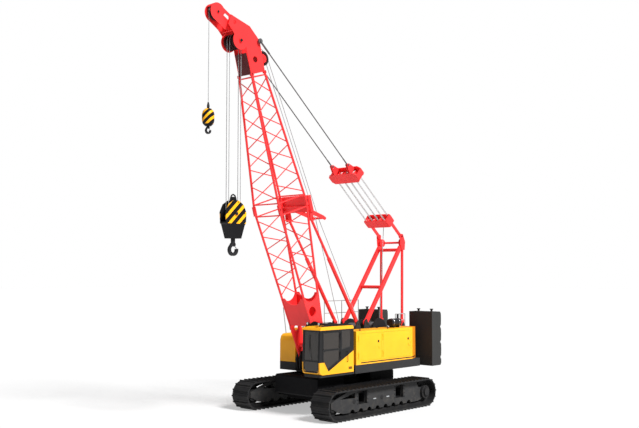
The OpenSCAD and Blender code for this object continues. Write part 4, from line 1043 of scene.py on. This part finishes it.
class CRANE_OT_house(bpy.types.Operator):
    """Fits the latches, lifting eyes, seams, caps and straps of the houses"""

    bl_idname = "crane.house"
    bl_label = "Fit the houses"

    def execute(self, context):
        latch = ((0.0, 0.0), (0.050, 0.0), (0.050, 0.007), (0.040, 0.012), (0.018, 0.012), (0.0, 0.012))
        for name, body, x in (("front_latch", "service_door_front", -0.66),
                              ("rear_latch", "service_door_rear", -2.60)):
            mesh = bmesh.new()
            add_turned(mesh, latch, (x, HOUSE_SIDE, 2.70), (0, 1, 0), 24)
            add_box(mesh, (x - 0.008, HOUSE_SIDE + 0.008, 2.665),
                    (x + 0.008, HOUSE_SIDE + 0.022, 2.735), 0.003)
            add_piece(name, mesh, "black paint", body)

        mesh = bmesh.new()
        for x in (0.30, -1.45):
            for y in (0.98, 1.54, -0.98, -1.54):
                add_turned(mesh, ((0.0, 0.0), (0.045, 0.0), (0.045, 0.012), (0.0, 0.012)),
                           (x, y, HOUSE_TOP), (0, 0, 1), 12)
                add_ring(mesh, (x, y, HOUSE_TOP + 0.052), (0, 1, 0), 0.034, 0.010)
        add_piece("roof_eyes", mesh, "black paint", "upperworks")

        mesh = bmesh.new()
        for side in (-1, 1):
            for x in (0.12, -0.90, -1.80):
                low_y, high_y = sorted((side * 0.84, side * 1.66))
                add_box(mesh, (x - 0.02, low_y, HOUSE_TOP - 0.002),
                        (x + 0.02, high_y, HOUSE_TOP + 0.008), 0.003)
        add_piece("roof_seams", mesh, "yellow paint", "upperworks")

        mesh = bmesh.new()
        cap = ((0.0, 0.0), (0.07, 0.0), (0.07, 0.04), (0.058, 0.055), (0.0, 0.055))
        for x in (-0.35, -2.35):
            add_turned(mesh, cap, (x, -1.25, HOUSE_TOP), (0, 0, 1), 20)
        add_piece("filler_caps", mesh, "black paint", "upperworks")

        mesh = bmesh.new()
        for x in (-2.43, -2.07):
            add_ring(mesh, (x, 1.25, 3.36), (1, 0, 0), 0.162, 0.009, 8, 32)
        add_piece("muffler_straps", mesh, "bright steel", "upperworks")
        return {"FINISHED"}


def cab_face(height):
    """Front of the cab at a height."""
    if height > CAB_LOW + 0.48:
        return CAB_FRONT - 0.045 * (height - CAB_LOW - 0.48) / 1.18
    return CAB_FRONT - 0.010 * (CAB_LOW + 0.48 - height) / 0.34


class CRANE_OT_cab(bpy.types.Operator):
    """Fits the window seals, wiper, handles, lamps and vents of the cab"""

    bl_idname = "crane.cab"
    bl_label = "Fit out the cab"

    def execute(self, context):
        low_y, high_y = CAB_RIGHT + 0.08, CAB_LEFT - 0.08
        high = CAB_TOP - 0.17
        mesh = bmesh.new()
        for low_z, high_z, corner in ((CAB_LOW + 0.53, high, 0.04), (CAB_LOW + 0.10, CAB_LOW + 0.49, 0.10)):
            ring = [(cab_face(z) + 0.001, y, z) for y, z in (
                (low_y - 0.02, low_z - 0.02), (high_y + 0.02, low_z - 0.02),
                (high_y + 0.02, high_z + 0.02), (low_y - 0.02, high_z + 0.02))]
            add_seal(mesh, ring, 0.03, -0.008, corner)
        side_windows = (
            (CAB_LEFT + 0.001, -0.008, ((1.00, 2.59), (1.52, 2.50), (1.52, high), (1.00, high))),
            (CAB_RIGHT - 0.001, 0.008, ((1.00, 2.30), (2.56, 2.30), (2.56, high), (1.00, high))))
        for y, depth, outline in side_windows:
            add_seal(mesh, [(x, y, z) for x, z in outline], 0.018, depth, 0.03)
        rear = [(CAB_REAR - 0.001, y, z) for y, z in (
            (low_y + 0.03, 2.40), (high_y - 0.03, 2.40), (high_y - 0.03, high), (low_y + 0.03, high))]
        add_seal(mesh, rear, 0.018, 0.008, 0.03)
        add_piece("window_seals", mesh, "rubber", "upperworks", 30)

        mesh = bmesh.new()
        pivot = (cab_face(2.12) + 0.004, 1.26, 2.12)
        add_turned(mesh, ((0.0, 0.0), (0.024, 0.0), (0.024, 0.016), (0.016, 0.024), (0.0, 0.024)),
                   pivot, (1, 0, 0), 16)
        arm = [(cab_face(2.12) + 0.022, 1.26, 2.12), (cab_face(2.5) + 0.024, 1.20, 2.5),
               (cab_face(2.82) + 0.016, 1.15, 2.82)]
        add_rope(mesh, arm, 0.008, 8)
        add_box(mesh, (cab_face(2.9) + 0.004, 1.138, 2.50), (cab_face(2.5) + 0.012, 1.152, 3.10), 0.003)
        add_piece("wiper", mesh, "rubber", "upperworks")

        mesh = bmesh.new()
        grab = [(1.22, CAB_LEFT - 0.002, 2.02), (1.22, CAB_LEFT + 0.05, 2.04), (1.22, CAB_LEFT + 0.05, 2.40),
                (1.22, CAB_LEFT - 0.002, 2.42)]
        add_rope(mesh, grab, 0.012, 10)
        add_piece("grab_bar", mesh, "black paint", "upperworks")

        mesh = bmesh.new()
        handle = [(2.44, 1.676, 2.53), (2.44, 1.71, 2.53), (2.54, 1.71, 2.53), (2.54, 1.676, 2.53)]
        add_rope(mesh, handle, 0.011, 10)
        add_piece("door_handle", mesh, "bright steel", "cab_door")

        mesh = bmesh.new()
        lens = ((0.0, 0.012), (0.030, 0.009), (0.048, 0.0), (0.048, -0.004), (0.0, -0.004))
        for y in (CAB_RIGHT + 0.15, CAB_LEFT - 0.15):
            add_turned(mesh, lens, (2.650, y, 3.505), (1, 0, 0), 24)
        add_piece("roof_lamp_glass", mesh, "clear lamp", "upperworks")

        mesh = bmesh.new()
        lens = ((0.0, 0.014), (0.022, 0.012), (0.034, 0.0), (0.0, 0.0))
        add_turned(mesh, lens, (2.750, 1.60, 1.88), (1, 0, 0))
        add_piece("corner_lamp", mesh, "black paint", "upperworks")

        mesh = bmesh.new()
        for z in (1.74, 1.765, 1.79, 1.815):
            add_box(mesh, (0.93, CAB_LEFT - 0.004, z), (1.13, CAB_LEFT + 0.010, z + 0.014), 0.003)
        add_piece("cab_vent", mesh, "black paint", "upperworks")
        return {"FINISHED"}


class CRANE_OT_seat(bpy.types.Operator):
    """Builds the operator's seat, consoles, levers and pedals"""

    bl_idname = "crane.seat"
    bl_label = "Fit the operator's seat"

    def execute(self, context):
        low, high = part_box("operator_seat")
        floor, seat = low.z, high.z - 0.66
        middle = (CAB_LEFT + CAB_RIGHT) / 2
        mesh = bmesh.new()
        add_box(mesh, (1.25, middle - 0.17, floor), (1.65, middle + 0.17, seat - 0.12), 0.02)
        add_box(mesh, (1.30, CAB_RIGHT + 0.07, floor), (2.20, CAB_RIGHT + 0.19, seat + 0.21), 0.025, 3)
        add_box(mesh, (1.30, CAB_LEFT - 0.19, floor), (1.90, CAB_LEFT - 0.10, seat + 0.16), 0.025, 3)
        add_box(mesh, (CAB_FRONT - 0.415, middle - 0.33, floor),
                (CAB_FRONT - 0.195, middle + 0.33, floor + 0.04), 0.01)
        for y in (-0.18, 0.18):
            add_box(mesh, (CAB_FRONT - 0.39, middle + y - 0.06, floor + 0.03),
                    (CAB_FRONT - 0.22, middle + y + 0.06, floor + 0.08), 0.012)
        consoles = add_piece("operator_consoles", mesh, "console plastic", "upperworks")
        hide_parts("operator_seat")

        mesh = bmesh.new()
        knob = ((0.0, 0.0), (0.012, 0.0), (0.024, 0.03), (0.020, 0.06), (0.0, 0.068))
        for x, y in ((1.62, CAB_RIGHT + 0.13), (1.82, CAB_RIGHT + 0.13), (2.02, CAB_RIGHT + 0.13),
                     (1.62, CAB_LEFT - 0.145), (1.80, CAB_LEFT - 0.145)):
            top = seat + (0.20 if y < middle else 0.15)
            add_tube(mesh, (x, y, top), (x + 0.02, y, top + 0.12), 0.008, 8)
            add_turned(mesh, knob, (x + 0.02, y, top + 0.11), (0.1, 0, 1), 14)
        add_piece("control_levers", mesh, "rubber", "upperworks")

        lean = math.atan2(0.08, 0.66)
        cushions = (
            ("seat_cushion", Vector((1.45, middle, seat - 0.12)), 0.0, (0.54, 0.46, 0.12)),
            ("seat_back", Vector((1.24, middle, seat + 0.004)), math.pi / 2 + lean, (0.62, 0.44, 0.11)))
        for name, base, tilt, size in cushions:
            mesh = bmesh.new()
            made = bmesh.ops.create_cube(mesh, size=1.0)
            bmesh.ops.transform(mesh, matrix=Matrix.Diagonal((*size, 1.0)), verts=made["verts"])
            bmesh.ops.translate(mesh, vec=(0, 0, size[2] / 2), verts=made["verts"])
            bmesh.ops.subdivide_edges(mesh, edges=mesh.edges, cuts=3, use_grid_fill=True)
            for vert in mesh.verts:
                inner = (1 - (2 * vert.co.x / size[0]) ** 2) * (1 - (2 * vert.co.y / size[1]) ** 2)
                if vert.co.z > size[2] * 0.9:
                    vert.co.z -= 0.035 * (1 - inner)
            place = Matrix.Translation(base) @ Matrix.Rotation(-tilt, 4, "Y")
            if tilt:
                place = place @ Matrix.Translation((size[0] / 2, 0, -size[2] / 2))
            bmesh.ops.transform(mesh, matrix=place, verts=mesh.verts)
            cushion = add_piece(name, mesh, "seat cloth", "upperworks", 180)
            rounding = cushion.modifiers.new("rounding", "SUBSURF")
            rounding.levels = 2
            rounding.render_levels = 2
        return {"FINISHED"}


class CRANE_OT_boom(bpy.types.Operator):
    """Fits the splice pins and shaft keepers of the boom and gantry"""

    bl_idname = "crane.boom"
    bl_label = "Fit the boom"

    def execute(self, context):
        mesh = bmesh.new()
        for along, half, depth in SPLICES:
            for side in (-1, 1):
                for rear in (-1, 1):
                    for step in (-0.028, 0.028):
                        place = on_boom(along + step, side * (half + 0.05), rear * depth)
                        add_turned(mesh, SPLICE_PIN, place, (0, side, 0), 12)
        add_piece("splice_pins", mesh, "dark steel", "boom")

        mesh = bmesh.new()
        for side in (-1, 1):
            add_pin_end(mesh, beside(MAIN_SHEAVE, side * 0.40), (0, side, 0), 0.06)
            add_pin_end(mesh, beside(TIP_SHEAVE, side * 0.20), (0, side, 0), 0.045)
        add_piece("sheave_keepers", mesh, "dark steel", "boom")

        mesh = bmesh.new()
        for side in (-1, 1):
            add_pin_end(mesh, beside(BAIL, side * 0.68), (0, side, 0), 0.04)
        add_piece("gantry_keepers", mesh, "dark steel", "upperworks")
        return {"FINISHED"}


class CRANE_OT_hooks(bpy.types.Operator):
    """Fits the hook latches, the rope socket, and the block's bolts and becket bow"""

    bl_idname = "crane.hooks"
    bl_label = "Fit the hooks"

    def execute(self, context):
        aux_x = TIP_SHEAVE.x + TIP_SEAT
        for name, hook, x, bowl, half in (("main_latch", "main_hook", MAIN_SHEAVE.x, 0.125, 0.055),
                                          ("aux_latch", "aux_hook", aux_x, 0.070, 0.036)):
            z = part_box(hook)[0].z + 1.84 * bowl
            mesh = bmesh.new()
            start = Vector((x - 0.52 * bowl, 0, z + 1.10 * bowl))
            end = Vector((x - 1.32 * bowl, 0, z + 0.28 * bowl))
            thick = 0.05 * bowl
            aside = Vector((end.z - start.z, 0, start.x - end.x)).normalized() * thick
            outline = [beside(start + aside, -half * 0.6), beside(end + aside, -half * 0.4),
                       beside(end + aside, half * 0.4), beside(start + aside, half * 0.6)]
            add_plate(mesh, outline, 2 * thick)
            add_tube(mesh, beside(start, -half * 1.15), beside(start, half * 1.15), 0.12 * bowl, 12)
            add_piece(name, mesh, "bright steel", hook)

        mesh = bmesh.new()
        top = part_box("aux_weight")[1].z
        sleeve = ((0.0, -0.01), (0.050, -0.01), (0.050, 0.03), (0.034, 0.11), (0.022, 0.16), (0.0, 0.16))
        add_turned(mesh, sleeve, (aux_x, 0, top), (0, 0, 1), 20)
        add_piece("rope_socket", mesh, "dark steel", "aux_weight")

        mesh = bmesh.new()
        for side in (-1, 1):
            centre = Vector((MAIN_SHEAVE.x, side * BLOCK_FACE, BLOCK_Z))
            add_pin_end(mesh, centre + Vector((0, side * 0.025, 0)), (0, side, 0), 0.06)
            for half, rise in ((0.36, -0.30), (0.40, 0.02), (0.10, 0.42)):
                for way in (-1, 1):
                    add_bolt(mesh, centre + Vector((way * half, 0, rise)), (0, side, 0), 0.016, 0.018)
        add_piece("block_bolts", mesh, "dark steel", "main_block")

        mesh = bmesh.new()
        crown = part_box("main_hook_block")[1].z
        bow = [(MAIN_SHEAVE.x + dx, 0, crown + dz) for dx, dz in (
            (-0.15, -0.16), (-0.12, -0.04), (-0.075, 0.05), (0.0, 0.085),
            (0.075, 0.05), (0.12, -0.04), (0.15, -0.16))]
        add_rope(mesh, bow, 0.028, 10)
        add_piece("becket_bow", mesh, "dark steel", "main_block")
        return {"FINISHED"}


class CRANE_OT_stage(bpy.types.Operator):
    """Sets the floor, the lights and the camera"""

    bl_idname = "crane.stage"
    bl_label = "Set the stage"

    def execute(self, context):
        scene = context.scene
        view = scene.crane_view
        mesh = bmesh.new()
        bmesh.ops.create_grid(mesh, x_segments=1, y_segments=1, size=220.0)
        floor = add_piece("stage_floor", mesh, "floor")

        camera = bpy.data.objects.new("camera", bpy.data.cameras.new("camera"))
        scene.collection.objects.link(camera)
        camera.location = view.place
        gaze = Vector(view.target) - Vector(view.place)
        camera.rotation_euler = gaze.to_track_quat("-Z", "Y").to_euler()
        camera.data.sensor_width = 36.0
        camera.data.lens = view.lens
        camera.data.clip_end = 1000.0
        scene.camera = camera

        key = bpy.data.objects.new("key", bpy.data.lights.new("key", "SUN"))
        key.data.energy = view.key_strength
        key.data.angle = math.radians(18)
        key.rotation_euler = Vector(view.key_direction).to_track_quat("Z", "Y").to_euler()
        scene.collection.objects.link(key)

        # the sky is white to the camera and dimmer as a light
        world = bpy.data.worlds.new("studio")
        world.use_nodes = True
        tree = world.node_tree
        light = tree.nodes["Background"]
        white = tree.nodes.new("ShaderNodeBackground")
        for background, strength in ((light, view.sky_strength), (white, 1.0)):
            background.inputs["Color"].default_value = (1.0, 1.0, 1.0, 1.0)
            background.inputs["Strength"].default_value = strength
        rays = tree.nodes.new("ShaderNodeLightPath")
        mix = tree.nodes.new("ShaderNodeMixShader")
        tree.links.new(rays.outputs["Is Camera Ray"], mix.inputs[0])
        tree.links.new(light.outputs[0], mix.inputs[1])
        tree.links.new(white.outputs[0], mix.inputs[2])
        tree.links.new(mix.outputs[0], tree.nodes["World Output"].inputs["Surface"])
        scene.world = world
        scene.view_settings.view_transform = "Standard"
        return {"FINISHED"}


class CRANE_PT_sidebar(bpy.types.Panel):
    """Lists the dressing steps"""

    bl_label = "Crawler crane"
    bl_idname = "CRANE_PT_sidebar"
    bl_space_type = "VIEW_3D"
    bl_region_type = "UI"
    bl_category = "Crane"

    def draw(self, context):
        for operator in STEPS:
            self.layout.operator(operator.bl_idname)
        for name in GROUPS:
            group = getattr(context.scene, name)
            for size in group.bl_rna.properties.keys():
                if size not in {"rna_type", "name"}:
                    self.layout.prop(group, size)


GROUPS = {"crane_paint": CranePaint, "crane_ropes": CraneRopes, "crane_view": CraneView}
STEPS = (
    CRANE_OT_finishes,
    CRANE_OT_edges,
    CRANE_OT_ropes,
    CRANE_OT_hoists,
    CRANE_OT_undercarriage,
    CRANE_OT_house,
    CRANE_OT_cab,
    CRANE_OT_seat,
    CRANE_OT_boom,
    CRANE_OT_hooks,
    CRANE_OT_stage,
)


def register():
    for name, group in GROUPS.items():
        bpy.utils.register_class(group)
        setattr(bpy.types.Scene, name, bpy.props.PointerProperty(type=group))
    for operator in STEPS:
        bpy.utils.register_class(operator)
    bpy.utils.register_class(CRANE_PT_sidebar)


def unregister():
    bpy.utils.unregister_class(CRANE_PT_sidebar)
    for operator in reversed(STEPS):
        bpy.utils.unregister_class(operator)
    for name, group in GROUPS.items():
        delattr(bpy.types.Scene, name)
        bpy.utils.unregister_class(group)


def main():
    register()
    for operator in STEPS:
        group, name = operator.bl_idname.split(".")
        getattr(getattr(bpy.ops, group), name)()


if __name__ == "__main__":
    main()
